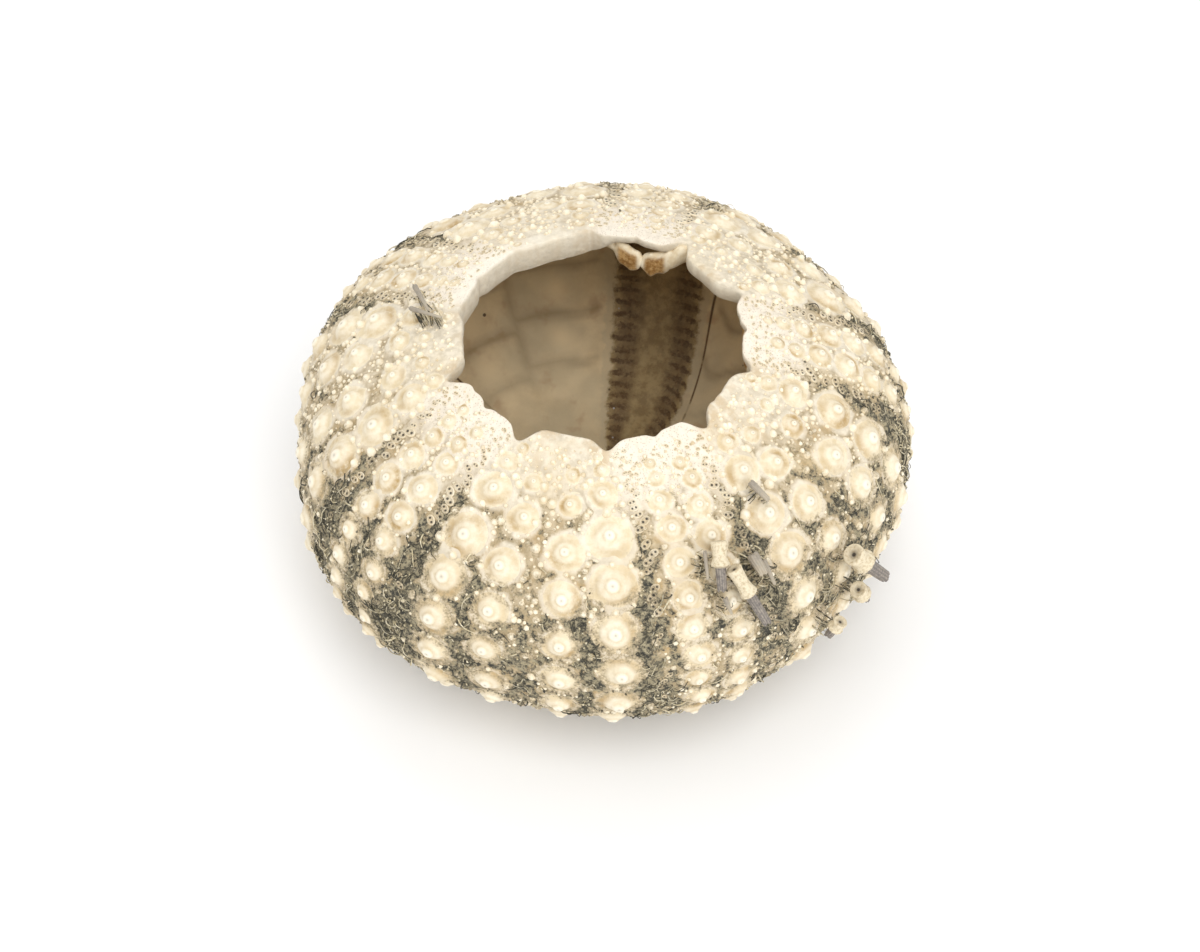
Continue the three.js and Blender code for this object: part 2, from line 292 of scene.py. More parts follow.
def lay_out_tubercles():
    """Rows of (azimuth, distance, boss radius, whole height, areole radius) for the large tubercles."""
    rows = []
    for middle, side, distance, height in PLATES:
        width, tall = zone_half_width(distance), skin_depth(distance)
        share = lerp(0.2, 0.255, smoothstep(distance, 5, 10))
        rows.append((middle + side * OUTER_ROW * width, distance, height, share, tall))
        if height > SMALLEST_WITH_TWO:
            rows.append((middle + side * INNER_ROW * width, distance + INNER_ROW_LAG * height,
                         INNER_SIZE * height, share, INNER_SIZE * tall))
    for middle, side, distance, height in BELT_PLATES:
        if distance > FIRST_BELT_TUBERCLE:
            rows.append((middle + side * belt_row(distance), distance, height,
                         BELT_BOSS_SHARE, 0.07 + 0.21 * height))
    azimuth, distance, height, share, tall = np.array(rows).T
    size, across, down = rng.normal((1, 0, 0), (0.04, 0.12, 0.07), (len(rows), 3)).T
    azimuth += across / math.radians(1) / ring_radius(distance)
    boss, areole = share * height * size, AREOLE_SHARE * height * size
    return on_shell(np.stack([azimuth, distance + down, boss, tall, areole], axis=-1), TUBERCLE_MARGIN)


def lay_out_secondaries():
    """Rows of (azimuth, distance, radius) for the small tubercles at the plates' edges."""
    rows = [(middle + side * across * zone_half_width(distance), distance + down * height, *SECONDARY_RADII)
            for middle, side, distance, height in PLATES for across, down in SECONDARY_SPOTS]
    rows += [(middle + side * across, distance + down * height, *BELT_SECONDARY_RADII)
             for middle, side, distance, height in BELT_PLATES for across, down in BELT_SECONDARY_SPOTS]
    azimuth, distance, least, most = np.array(rows).T
    near_mouth, near_disc = 0.45 + 0.16 * distance, 0.4 + 0.06 * (DISC_EDGE - distance)
    radius = rng.uniform(least, most) * (np.clip(near_mouth, 0.45, 1) * np.clip(near_disc, 0.4, 1))
    azimuth += rng.normal(0, 0.5, len(rows))
    distance += rng.normal(0, 0.15, len(rows))
    rows = np.stack([azimuth, distance, radius], axis=-1)
    return on_shell(rows[distance < DISC_EDGE], SECONDARY_MARGIN)


tubercles = lay_out_tubercles()

# ---- A chart of the outside: one value for each small cell, by azimuth and distance ----

CHART_COLUMNS, CHART_STEP, CHART_TOP = 1440, 0.1, -1.4
CHART_ROWS = int((SHELL_END + 0.3 - CHART_TOP) / CHART_STEP)
SUTURE_STEPS = 60
# Waves in a platform's outline: how many to a turn, and how deep as a share of the areole's radius.
PLATFORM_LOBES = ((2, 0.06), (3, 0.05), (5, 0.04))
# How far a platform rises and the areole's floor sinks in it, as shares of the tubercle's height.
PLATFORM_RISE, FLOOR_DROP = 0.17, 0.2
chart_azimuth = around(CHART_COLUMNS)
chart_distance = CHART_TOP + np.arange(CHART_ROWS) * CHART_STEP
CELL_WIDTHS = np.radians(360 / CHART_COLUMNS) * np.maximum(ring_radius(chart_distance), 0.5)


def window(azimuth, distance, radius):
    """Rows and columns of the cells within a radius, with each cell's offset in mm."""
    low = max(0, int((distance - radius - CHART_TOP) / CHART_STEP))
    high = min(CHART_ROWS, int((distance + radius - CHART_TOP) / CHART_STEP) + 2)
    width = CELL_WIDTHS[min((low + high) // 2, CHART_ROWS - 1)]
    reach = min(int(radius / width) + 1, CHART_COLUMNS // 2 - 1)
    centre = azimuth / 360 * CHART_COLUMNS
    columns = np.arange(int(round(centre)) - reach, int(round(centre)) + reach + 1)
    rows = np.arange(low, high)
    return (np.ix_(rows, columns % CHART_COLUMNS), (columns - centre)[None, :] * width,
            (chart_distance[rows] - distance)[:, None])


def stamp(chart, cells, values):
    chart[cells] = np.maximum(chart[cells], values)


def between_cells(chart, x, y, ease=lambda t: t):
    """The value between a chart's cells. The columns go round the shell."""
    x0, y0 = np.floor(x).astype(int), np.floor(y).astype(int)
    left, right = x0 % chart.shape[1], (x0 + 1) % chart.shape[1]
    top, bottom = (lerp(chart[row, left], chart[row, right], ease(x - x0)) for row in (y0, y0 + 1))
    return lerp(top, bottom, ease(y - y0))


def sample(chart, azimuth, distance):
    """The chart's value at any place."""
    y = np.clip((np.asarray(distance, float) - CHART_TOP) / CHART_STEP, 0, CHART_ROWS - 1.001)
    return between_cells(chart, np.asarray(azimuth, float) / 360 * CHART_COLUMNS, y)


def soft_noise(cell, seed):
    """Smooth random values from 0 to 1, with lumps about cell mm across at the widest level."""
    columns = max(4, int(round(WHOLE_TURN * SHELL_RADIUS / cell)))
    knots = np.random.default_rng(seed).random((int(CHART_ROWS * CHART_STEP / cell) + 3, columns))
    x = np.arange(CHART_COLUMNS) / CHART_COLUMNS * columns
    y = np.arange(CHART_ROWS)[:, None] * CHART_STEP / cell
    return between_cells(knots, x, y, lambda t: smoothstep(t, 0, 1))


def blur(chart, radius):
    """Box blur, in cells, wrapping round the shell."""
    size, pad = 2 * radius + 1, (radius + 1, radius)
    total = np.cumsum(np.pad(chart, (pad, (0, 0)), mode="edge"), axis=0)
    chart = (total[size:] - total[:-size]) / size
    total = np.cumsum(np.pad(chart, ((0, 0), pad), mode="wrap"), axis=1)
    return (total[:, size:] - total[:, :-size]) / size


AZ, DIST = np.meshgrid(chart_azimuth, chart_distance)
FROM_MIDDLE, RING = np.abs(angle_in_sector(AZ)), ring_radius(DIST)
EDGE = belt_edge(DIST)
covered, height, platform, suture = np.zeros((4, CHART_ROWS, CHART_COLUMNS))


def mark_tubercles():
    """Raises the scalloped platform round each large tubercle and notes what it covers."""
    for azimuth, distance, boss, tall, areole in tubercles:
        cells, across, down = window(azimuth, distance, areole * 1.35)
        away, turn = np.hypot(across, down), np.arctan2(down, across)
        edge = 1 + 0.03 * np.cos(int(rng.integers(9, 14)) * turn + rng.uniform(0, 6))
        for lobes, size in PLATFORM_LOBES:
            edge = edge + size * np.cos(lobes * turn + rng.uniform(0, 6))
        edge = edge * areole
        disc = 1 - smoothstep(away, 0.88 * edge, 1.08 * edge)
        floor = 1 - smoothstep(away, 0.74 * areole, 0.9 * areole)
        rise = 0.03 * tall + PLATFORM_RISE * tall * disc - FLOOR_DROP * tall * floor
        stamp(height, cells, rise * (disc > 0))
        stamp(platform, cells, disc)
        stamp(covered, cells, away < 0.9 * areole)


def mark_sutures():
    """Notes the joints between plates: across each column, down each zone's middle and along the belts."""
    for middle, side, distance, tall in PLATES:
        for t in np.linspace(0, 1, SUTURE_STEPS):
            azimuth = lerp(middle, middle + side * zone_half_width(distance), t)
            sag = -0.12 * tall * math.sin(math.pi * t)
            cells, across, down = window(azimuth, distance + 0.62 * tall + sag, 0.22)
            stamp(suture, cells, bell(np.hypot(across, down), 0.11))
    zigzag = 0.22 * np.sin(DIST * WHOLE_TURN / np.maximum(plate_height(DIST), 1))
    faint = 0.5 * smoothstep(DIST, 3, 9)
    suture[:] = np.maximum(suture * smoothstep(DIST, 2, 7),
                           faint * bell(arc(FROM_MIDDLE - SECTOR / 2, RING) + np.abs(zigzag), 0.1))
    suture[:] = np.maximum(suture, faint * bell(arc(FROM_MIDDLE - EDGE, RING), 0.12))


mark_tubercles()
mark_sutures()

lumps = 0.4 * soft_noise(2.2, 11) + 0.3 * soft_noise(0.8, 12) + 0.3 * soft_noise(0.36, 13)
away_from_rim = 1 - 0.5 * (1 - smoothstep(DIST, 0.3, 3))
height += 0.22 * (lumps - 0.5) * (1 - 0.7 * platform) * away_from_rim
height -= 0.07 * suture * (1 - 0.85 * platform) * away_from_rim
stain = soft_noise(2.6, 31) * soft_noise(0.8, 32)
# Painted shade: the skin is darkened where it lies lower than its blurred surroundings, in its crevices and
# at the feet of raised parts.
cavity_shade = np.clip((blur(height, 5) - height) * 13, 0, 1)

# How thick the grime is along each belt's two edges, and a clump of it: azimuth, distance and radius.
EDGE_GRIME = np.array([0.95, 1.0, 0.9, 0.65, 0.55, 0.6, 0.5, 0.6, 0.22, 1.0])
CLUMP_AZIMUTH, CLUMP_DISTANCE, CLUMP_RADIUS = -41.5, 17.6, 2.3


def grime_weight():
    """Where dark dried tissue and grit gather: along the belts' edges, in crevices, and more lower down."""
    patchy, speckle, fine = soft_noise(5.5, 21), soft_noise(0.95, 22), soft_noise(0.34, 23)
    border = EDGE_GRIME[belt_side(AZ)] * bell(FROM_MIDDLE - EDGE, 2.9) * smoothstep(DIST, 4, 9.5)
    below = 0.52 * smoothstep(DIST, 6.5, 14) + 0.2 * smoothstep(DIST, 2, 6)
    below = below * (1 - 0.32 * smoothstep(AZ, 70, 110) * (1 - smoothstep(AZ, 285, 305)))
    region = np.clip(border + below, 0, 1.15) * (0.5 + 0.75 * patchy)
    low = lerp(np.clip((blur(height, 7) - height) * 7 + 0.6, 0, 1.2), 0.62, 0.85 * platform)
    clean = 1 - lerp(0.85, 0.4, smoothstep(DIST, 8, 15)) * platform
    fade = 1 - 0.5 * smoothstep(DIST, 30, 38)
    weight = region * clean * low * (0.15 + 1.05 * speckle + 0.8 * fine) * fade * 1.45
    weight = np.minimum(weight, lerp(1, 0.32, platform))
    away = np.hypot(arc(turned_from(AZ, CLUMP_AZIMUTH), RING), DIST - CLUMP_DISTANCE)
    return np.clip(weight + 0.9 * bell(away, CLUMP_RADIUS) * (0.5 + 0.6 * speckle), 0, 1)


grime = grime_weight()


# ---- Making pieces ----

# Near the shell's axis, a place beside another is worked out as if on a ring of this radius.
SMALLEST_RING = 1.2
BAKE_MARGIN = 0.002


def add_object(name, data):
    thing = bpy.data.objects.new(name, data)
    bpy.context.scene.collection.objects.link(thing)
    return thing


def make_piece(name, points, faces, corner_uvs, material, values=None, normals=None,
               node="test"):
    """One object from points in mm. faces and corner_uvs are lists of arrays, a row to each face."""
    points = np.clip(points, *(np.array(corner) / MM for corner in CAD_BOX))
    mesh = bpy.data.meshes.new(name)
    mesh.vertices.add(len(points))
    mesh.vertices.foreach_set("co", np.ascontiguousarray(points * MM, dtype=np.float32).ravel())
    corners = np.concatenate([f.ravel() for f in faces]).astype(np.int32)
    sizes = np.concatenate([np.full(len(f), f.shape[1]) for f in faces])
    mesh.loops.add(len(corners))
    mesh.loops.foreach_set("vertex_index", corners)
    mesh.polygons.add(len(sizes))
    mesh.polygons.foreach_set("loop_start", (np.cumsum(sizes) - sizes).astype(np.int32))
    mesh.update(calc_edges=True)
    flat = np.concatenate([uv.ravel() for uv in corner_uvs]).astype(np.float32)
    mesh.uv_layers.new(name="OFBake").uv.foreach_set("vector", flat)
    for key, value in (values or {}).items():
        mesh.attributes.new(key, "FLOAT", "POINT").data.foreach_set("value", value.astype(np.float32))
    mesh.shade_smooth()
    if normals is not None:
        mesh.normals_split_custom_set_from_vertices(normals.astype(np.float32))
    mesh.materials.append(material)
    piece = add_object(name, mesh)
    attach(piece, "root")
    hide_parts(node)


def strip(upper, upper_count, lower, lower_count):
    """Faces between two closed rings of points. The lower ring may have half as many as the upper one."""
    ratio = upper_count // lower_count
    j = np.arange(lower_count)
    down, down_next = lower + j, lower + (j + 1) % lower_count
    a, b, c = (upper + (ratio * j + step) % upper_count for step in (0, ratio - 1, ratio))
    quads, halved = ((a, down, down_next, c),), ((a, down, b), (b, down, down_next), (b, down_next, c))
    return [np.stack(corners, axis=-1) for corners in (quads if ratio == 1 else halved)]


def tube(rows, sides):
    """Quads between closed rings of points, one under another, and each corner's shares round and down."""
    i, j = (part.reshape(-1, 1) for part in np.indices((rows - 1, sides)))
    down, turn = i + [0, 1, 1, 0], j + [0, 0, 1, 1]
    return down * sides + turn % sides, turn / sides, down / rows


def fan(start, sides, tip):
    """Triangles from a closed ring of points to a tip."""
    j = np.arange(sides)
    return np.stack([start + j, np.full(sides, tip), start + (j + 1) % sides], axis=-1)


class Rings:
    """Closed rings of points, one under another, that make a skin."""

    def __init__(self):
        self.points, self.values, self.starts, self.places = [], [], [0], []

    def add(self, points, place, **values):
        """place is how far down the skin the ring lies, for the bake layout."""
        self.points.append(points)
        self.values.append({key: value + np.zeros(len(points)) for key, value in values.items()})
        self.starts.append(self.starts[-1] + len(points))
        self.places.append(place)

    def joined(self):
        return np.concatenate(self.points), {
            key: np.concatenate([values[key] for values in self.values]) for key in self.values[0]}

    def faces(self, first, last):
        """Faces between ring first and ring last, with bake coordinates that run round and down the skin."""
        starts, counts, places = np.array(self.starts), np.diff(self.starts), np.array(self.places)
        ring = np.repeat(np.arange(len(counts)), counts)
        turn = (np.arange(starts[-1]) - starts[ring]) / counts[ring]
        down = (places[ring] - places[first]) / (places[last] - places[first])
        faces = [group for i in range(first, last)
                 for group in strip(starts[i], counts[i], starts[i + 1], counts[i + 1])]
        uvs = []
        for group in faces:
            u = turn[group]
            u = np.where(u.max(axis=1, keepdims=True) - u > 0.5, u + 1, u)
            uvs.append(lerp(BAKE_MARGIN, 1 - BAKE_MARGIN, np.stack([u, 1 - down[group]], axis=-1)))
        return faces, uvs


class Form:
    """A small form to be copied: a list of arrays of faces, and a place in the bake layout for each point."""

    def __init__(self, faces, across, down):
        self.faces, self.flat = faces, np.stack([across, down], axis=-1)


class Turned(Form):
    """A form turned from (radius, height) rings and closed with a tip. Its axes are across, down and up."""

    def __init__(self, rings, tip, sides):
        rows = len(rings)
        self.turn = np.append(np.tile(around(sides, WHOLE_TURN), rows), 0)
        radii, heights = zip(*rings)
        self.radius = np.append(np.repeat(radii, sides), 0)
        self.height = np.append(np.repeat(heights, sides), tip)
        share = 0.47 * (1 - np.append(np.repeat(np.arange(rows), sides), rows) / rows)
        super().__init__([tube(rows, sides)[0], fan((rows - 1) * sides, sides, rows * sides)],
                         0.5 + share * np.cos(self.turn), 0.5 + share * np.sin(self.turn))


def beside(azimuth, distance, x):
    """Azimuth of a place that is x mm across from another."""
    return azimuth + np.degrees(x / np.maximum(ring_radius(distance), SMALLEST_RING))


def make_copies(name, form, azimuth, distance, x, y, height, material, values, slot="test"):
    """A piece of many copies of a form, each with its own cell in the bake layout.

    azimuth and distance are columns. x, y and height are tables with a row to each copy: mm across, down and
    up.
    """
    points = outside_point(beside(azimuth, distance, x), distance + y, height).reshape(-1, 3)
    index = np.arange(len(azimuth))
    columns = math.ceil(math.sqrt(len(azimuth)))
    corner = np.stack([index % columns, index // columns], axis=-1)[:, None, None, :]
    first = index[:, None, None] * len(form.flat)
    faces = [(first + group).reshape(-1, group.shape[1]) for group in form.faces]
    uvs = [((corner + form.flat[group]) / columns).reshape(-1, group.shape[1], 2) for group in form.faces]
    values = {key: (value + np.zeros(x.shape)).ravel() for key, value in values.items()}
    make_piece(name, points, faces, uvs, material, values)


def make_turned(name, form, azimuth, distance, size, tall, foot, spin, wobble, values):
    """A piece of turned forms. foot is the height of each one's own zero above the envelope."""
    angle = form.turn + spin
    uneven = 1 + wobble * np.cos(3 * angle + 5 * spin) + 0.6 * wobble * np.cos(2 * angle + spin * 2)
    reach = form.radius * size * uneven
    make_copies(name, form, azimuth, distance, reach * np.cos(angle), reach * np.sin(angle),
                foot + form.height * tall, granule_paint, values)


# ---- Materials ----


def srgb(red, green, blue):
    def channel(value):
        value /= 255
        return value / 12.92 if value <= 0.04045 else ((value + 0.055) / 1.055) ** 2.4
    return channel(red), channel(green), channel(blue), 1.0


class Value:
    """A value over the surface, from a node's output. Sums with it make more nodes."""

    def __init__(self, paint, socket):
        self.paint, self.socket = paint, socket

    def __mul__(self, other):
        return self.paint.math("MULTIPLY", self, other)

    def __add__(self, other):
        return self.paint.math("ADD", self, other)

    def __sub__(self, other):
        return self.paint.math("SUBTRACT", self, other)

    def spread(self, low, high, to_low=0.0, to_high=1.0):
        """Maps from one range to another, softly and within the ends."""
        numbers = dict(enumerate((self, low, high, to_low, to_high)))
        return self.paint.node("MapRange", 0, numbers, interpolation_type="SMOOTHSTEP")


class Paint:
    """A material built up node by node, with a Principled shader at its end."""

    def __init__(self, name, **settings):
        self.material = bpy.data.materials.new(name)
        self.material.use_nodes = True
        self.tree = self.material.node_tree
        self.shader = self.tree.nodes["Principled BSDF"]
        for key, value in settings.items():
            self.shader.inputs[key.replace("_", " ")].default_value = value
        self.place = self.node("TexCoord", "Object", {})
        self.relief = {}

    def feed(self, socket, value):
        """Links a value, or sets a number or an 8-bit colour."""
        if isinstance(value, Value):
            self.tree.links.new(value.socket, socket)
        else:
            socket.default_value = srgb(*value) if isinstance(value, tuple) else value

    def node(self, kind, output, inputs, **settings):
        node = self.tree.nodes.new("ShaderNode" + kind)
        for key, value in settings.items():
            setattr(node, key, value)
        for key, value in inputs.items():
            self.feed(node.inputs[key], value)
        return Value(self, node.outputs[output])

    def value(self, name):
        return self.node("Attribute", "Fac", {}, attribute_name=name)

    def math(self, operation, a, b):
        return self.node("Math", 0, {0: a, 1: b}, operation=operation)

    def blend(self, a, b, share):
        return self.node("Mix", "Result", {"Factor": share, "A": a, "B": b}, data_type="RGBA")

    def coat(self, colour, share):
        """Covers a share of the colour so far with another."""
        self.colour = self.blend(self.colour, colour, share)

    def noise(self, size, detail=3.0, roughness=0.55):
        """Cloudy noise with lumps of about size mm."""
        return self.node("TexNoise", "Fac", {
            "Scale": 1 / (size * MM), "Detail": detail, "Roughness": roughness, "Vector": self.place})

    def cells(self, size):
        """Distance from the nearest of many scattered points, size mm apart."""
        return self.node("TexVoronoi", "Distance", {"Scale": 1 / (size * MM), "Vector": self.place})

    def bump(self, value, depth, strength):
        """Adds relief of depth mm to the surface."""
        inputs = {"Distance": depth * MM, "Strength": strength, "Height": value}
        self.relief = {"Normal": self.node("Bump", "Normal", {**inputs, **self.relief})}

    def finish(self, rough):
        for key, value in {"Base Color": self.colour, "Roughness": rough, **self.relief}.items():
            self.feed(self.shader.inputs[key], value)
        return self.material


def paint_outside(name, pale, cream, porous, gloss):
    """Bleached calcite: cream with tan stains, fine open pores and grey dried tissue in its hollows, with
    painted shade in pores, pits, crevices and round tubercles and grains, and painted highlights on their
    tops.
    """
    paint = Paint(name, Specular_IOR_Level=0.32)
    grain, mottle = paint.noise(0.15, 3, 0.7), paint.noise(0.6, 4, 0.65)
    open_pores, grime = paint.value("porous"), paint.value("grime")
    paint.colour = paint.blend(cream, pale, mottle.spread(0.32, 0.66))
    paint.coat((218, 196, 152), paint.noise(3.5, 4, 0.6).spread(0.48, 0.74, 0, 0.5))
    # Tan: real stains on the skin and rim, and painted shade as rings round tubercle bosses and necks and at
    # the feet of beads, granules and pore collars.
    paint.coat((188, 157, 106), paint.value("tan") * paint.noise(0.9, 4, 0.7).spread(0.34, 0.6, 0.15, 1))
    paint.coat((241, 229, 212), open_pores * 0.8)
    # Painted shade in the fine open pores, which the bump below also sinks.
    holes = paint.cells(0.17).spread(0.36, 0.1) * open_pores.spread(0, 1, porous, 1)
    paint.coat((152, 128, 98), holes * 0.6)
    # Dark joints along the sutures and seams, and painted shade in crevices, round tubercle bosses and in
    # spine grooves.
    paint.coat((148, 130, 98), paint.value("hollow") * grain.spread(0.35, 0.6, 0.5, 0.95))
    # Painted highlight on the tops of tubercles, beads and granules; pale calcite on areole platforms, near
    # the rim, on the rim's edge and on the worn strip.
    paint.coat((255, 249, 233), paint.value("tip") * 0.95)
    ragged = (grain - 0.5) * 0.45 + (mottle - 0.5) * 1.5
    edge = grime + ragged * grime.spread(0.02, 0.2)
    dirty = edge.spread(0.26, 0.6)
    paint.coat((168, 149, 114), edge.spread(0.02, 0.38, 0, 0.8))
    paint.coat(paint.blend((62, 61, 55), (168, 157, 129), paint.noise(0.36, 4, 0.8).spread(0.4, 0.62)), dirty)
    # Painted shade in pits and pores: the apical disc's pores, the mamelons' dents and the pore pairs' pits.
    paint.coat((46, 42, 36), paint.value("pit"))
    paint.bump(grain, 0.035, 0.6)
    paint.bump(holes, -0.05, 0.5)
    paint.bump(paint.noise(0.4, 4, 0.65), 0.13, 0.6)
    return paint.finish(dirty.spread(0, 1, gloss, 0.92))


PORE_STEP = 0.92


def paint_inside():
    """The wall seen through the mouth: tan plates with painted light in their pale middles, and brown pore
    bands beside each ambulacrum's middle.
    """
    paint = Paint("shell_inside", Specular_IOR_Level=0.25)
    angle, mottle, fine = paint.value("angle"), paint.noise(1.6, 4, 0.6), paint.noise(0.3, 4, 0.65)
    paint.colour = paint.blend((231, 208, 166), (245, 223, 181), mottle.spread(0.3, 0.7))
    paint.coat((194, 182, 152), paint.noise(7, 2).spread(0.4, 0.6, 0, 0.5))
    paint.coat((184, 138, 94), paint.noise(2.4, 3, 0.6).spread(0.54, 0.7, 0, 0.4))
    # Painted light: the middles of the plates made paler, as if light shone through the thin wall.
    paint.coat((255, 232, 188), paint.value("thin") * 0.95)
    paint.coat((158, 134, 98), paint.value("joint") * 0.55)
    here = angle + (paint.noise(0.8, 5, 0.65) - 0.5) * 4.6
    paint.coat((206, 190, 158), here.spread(9.5, 10.5) * (here.spread(13, 11.6) * 0.5))
    middle = paint.blend((142, 118, 78), (178, 154, 110), paint.noise(0.9, 5, 0.7).spread(0.36, 0.64))
    paint.coat(middle, here.spread(11.0, 9.4) * 0.92)
    beat = paint.math("SINE", (paint.value("along") + paint.value("shift")) * (WHOLE_TURN / PORE_STEP), 0.0)
    rung = (beat + (fine - 0.5) * 5).spread(-0.6, 1.0)
    band = here.spread(2.4, 5.6) * (here - rung * 1.5).spread(9.4, 7.4)
    deep = fine.spread(0.3, 0.7, 0.7, 1) * paint.math("ADD", 0.6, rung * 0.36)
    paint.coat((98, 74, 48), band * deep)
    dots = paint.cells(0.9).spread(0.11, 0.06) * (here.spread(6.6, 7.6) * here.spread(9.8, 9.0))
    paint.coat((206, 204, 204), dots * 0.8)
    seam = angle.spread(12.7, 13.15) * angle.spread(13.75, 13.3) * mottle.spread(0.36, 0.5, 0.25, 0.95)
    paint.coat((104, 76, 48), seam * paint.value("seam"))
    paint.coat((80, 60, 42), paint.cells(2.3).spread(0.075, 0.045) * 0.85)
    lip = paint.blend((255, 244, 218), (246, 228, 192), paint.noise(0.7, 4, 0.7).spread(0.42, 0.7))
    paint.coat(lip, paint.value("lip"))
    paint.bump(fine, 0.08, 0.6)
    paint.bump(mottle, 0.15, 0.4)
    return paint.finish(fine.spread(0.3, 0.7, 0.5, 0.68))


def paint_arch():
    """The arches inside the mouth: pale bars, with brown dried muscle in the cups of their pads."""
    paint = Paint("auricle", Specular_IOR_Level=0.3)
    mottle = paint.noise(0.6, 4, 0.6)
    paint.colour = paint.blend((222, 203, 168), (241, 228, 200), mottle.spread(0.35, 0.65))
    brown = paint.blend((150, 108, 58), (206, 168, 112), paint.noise(0.35, 4, 0.7).spread(0.36, 0.66))
    paint.coat(brown, paint.value("tan"))
    paint.bump(mottle, 0.08, 0.5)
    paint.bump(paint.noise(0.2, 3, 0.6), 0.04, 0.5)
    return paint.finish(mottle.spread(0.3, 0.7, 0.55, 0.75))


def paint_spine():
    """A spine: cream socket and collar, and a grooved grey-violet shaft, with painted shade in its grooves
    and in the dark middles of its foot and broken end.
    """
    paint = Paint("spine_calcite", Specular_IOR_Level=0.35)
    grain = paint.noise(0.2, 4, 0.6)
    paint.colour = paint.blend((238, 225, 196), (198, 178, 140), grain.spread(0.42, 0.72))
    grey = paint.blend((120, 112, 108), (176, 166, 152), grain.spread(0.3, 0.7))
    # Painted shade in the shaft's grooves.
    paint.coat(paint.blend(grey, (92, 86, 82), paint.value("hollow") * 0.6), paint.value("shaft"))
    paint.coat((150, 134, 108), paint.value("tan") * 0.75)
    # Painted shade in the middle of the cup at the foot and of the broken end.
    paint.coat((62, 55, 46), paint.value("pit"))
    paint.bump(grain, 0.03, 0.6)
    return paint.finish(grain.spread(0.3, 0.7, 0.5, 0.7))


def paint_tissue():
    """Dried fibres and grit: dark grey strands, straw ones and pale grains."""
    paint = Paint("dried_fibres", Specular_IOR_Level=0.2)
    grain = paint.noise(0.25, 3, 0.6)
    paint.colour = paint.blend((60, 60, 54), (104, 99, 84), grain.spread(0.3, 0.7))
    paint.coat(paint.blend((206, 190, 150), (242, 232, 205), grain.spread(0.3, 0.7)), paint.value("tint"))
    paint.bump(grain, 0.03, 0.6)
    return paint.finish(0.85)


skin_paint = paint_outside("shell_skin", (229, 216, 192), (188, 173, 146), 0.12, 0.7)
tubercle_paint = paint_outside("tubercle_calcite", (243, 231, 205), (227, 210, 175), 0.0, 0.5)
granule_paint = paint_outside("granule_calcite", (252, 242, 218), (236, 221, 190), 0.0, 0.5)
inside_paint, arch_paint = paint_inside(), paint_arch()
spine_paint, tissue_paint = paint_spine(), paint_tissue()


# ---- The skin of the shell ----

SKIN_COLUMNS, SKIN_STEP = 720, 0.205
HALF_COLUMNS_FROM, QUARTER_COLUMNS_FROM = 27.0, 41.0
RIM_BAND_ROWS, RIM_BULGE = 8, 0.16
SPLIT_DISTANCE = 21.0


def rim_points(azimuth):
    """Where the outer skin ends at the rim, and where the inner wall begins."""
    distance = rim_set_back(azimuth)
    along = inner.to_radius(ring_radius(distance) + RIM_LAP)
    outside = outside_point(azimuth, distance, -skin_depth(distance))
    return outside, inner.point(azimuth, along, -edge_depth(azimuth)), along


def disc_relief(azimuth, distance):
    """Seams and pores of the apical disc's plates: five large plates, and five small ones between them."""
    radius, angle = ring_radius(distance), angle_in_sector(azimuth)
    on_disc = distance > DISC_EDGE - 0.6
    seam = np.maximum(bell(arc(np.abs(angle) - 17 * smoothstep(radius, 2.5, 4.2), radius), 0.09),
                      bell(radius - 4.25 + 0.25 * bell(angle, 14), 0.1))
    genital_pore = bell(np.hypot(arc(np.abs(np.abs(angle) - SECTOR / 2), radius), radius - 2.75), 0.17)
    ocular_pore = bell(np.hypot(arc(angle, radius), radius - 3.85), 0.1)
    return on_disc * seam, on_disc * genital_pore, on_disc * ocular_pore


def worn_edge(azimuth, distance):
    """How much of the skin is worn bare and pale: a strip along the thick side of the rim."""
    beside_middle = bell(turned_from(azimuth, THICK_SIDE_AZIMUTH) / THICK_SIDE_HALF_WIDTH, 1)
    return beside_middle * (1 - smoothstep(distance - rim_set_back(azimuth), 0.8, 1.9))


def skin_values(azimuth, distance):
    angle = np.abs(angle_in_sector(azimuth))
    near_rim = 1 - smoothstep(distance, 1.5, 6.5)
    notch = bell(angle - NOTCH_ANGLE, 6) * (1 - smoothstep(distance, 0.2, 2.6))
    patchy, worn = sample(stain, azimuth, distance), worn_edge(azimuth, distance)
    edge_stain = bell(distance - rim_set_back(azimuth), 0.7) * smoothstep(patchy, 0.1, 0.35)
    edge_stain = edge_stain * (1 - 0.8 * worn)
    seam, genital_pore, ocular_pore = disc_relief(azimuth, distance)
    # Dark joints along the sutures and the disc's seams, with painted shade in the crevices.
    crevice = 0.6 * sample(suture, azimuth, distance) + sample(cavity_shade, azimuth, distance)
    tan = (0.85 * notch * smoothstep(patchy, 0.05, 0.2) + 0.8 * edge_stain + 1.5 * (patchy - 0.3)
           + 0.6 * smoothstep(distance, 4, 12))
    return {
        "grime": sample(grime, azimuth, distance),
        "hollow": np.clip(crevice + seam, 0, 1),
        "porous": near_rim * (1 - smoothstep(angle, 14, 20)),
        "tan": np.clip(tan, 0, 0.9),
        # Painted shade in the apical disc's genital and ocular pores.
        "pit": np.clip(np.maximum(genital_pore, ocular_pore), 0, 1),
        "tip": np.maximum(lerp(0.4 * sample(platform, azimuth, distance), 0.28, near_rim), 0.65 * worn),
    }


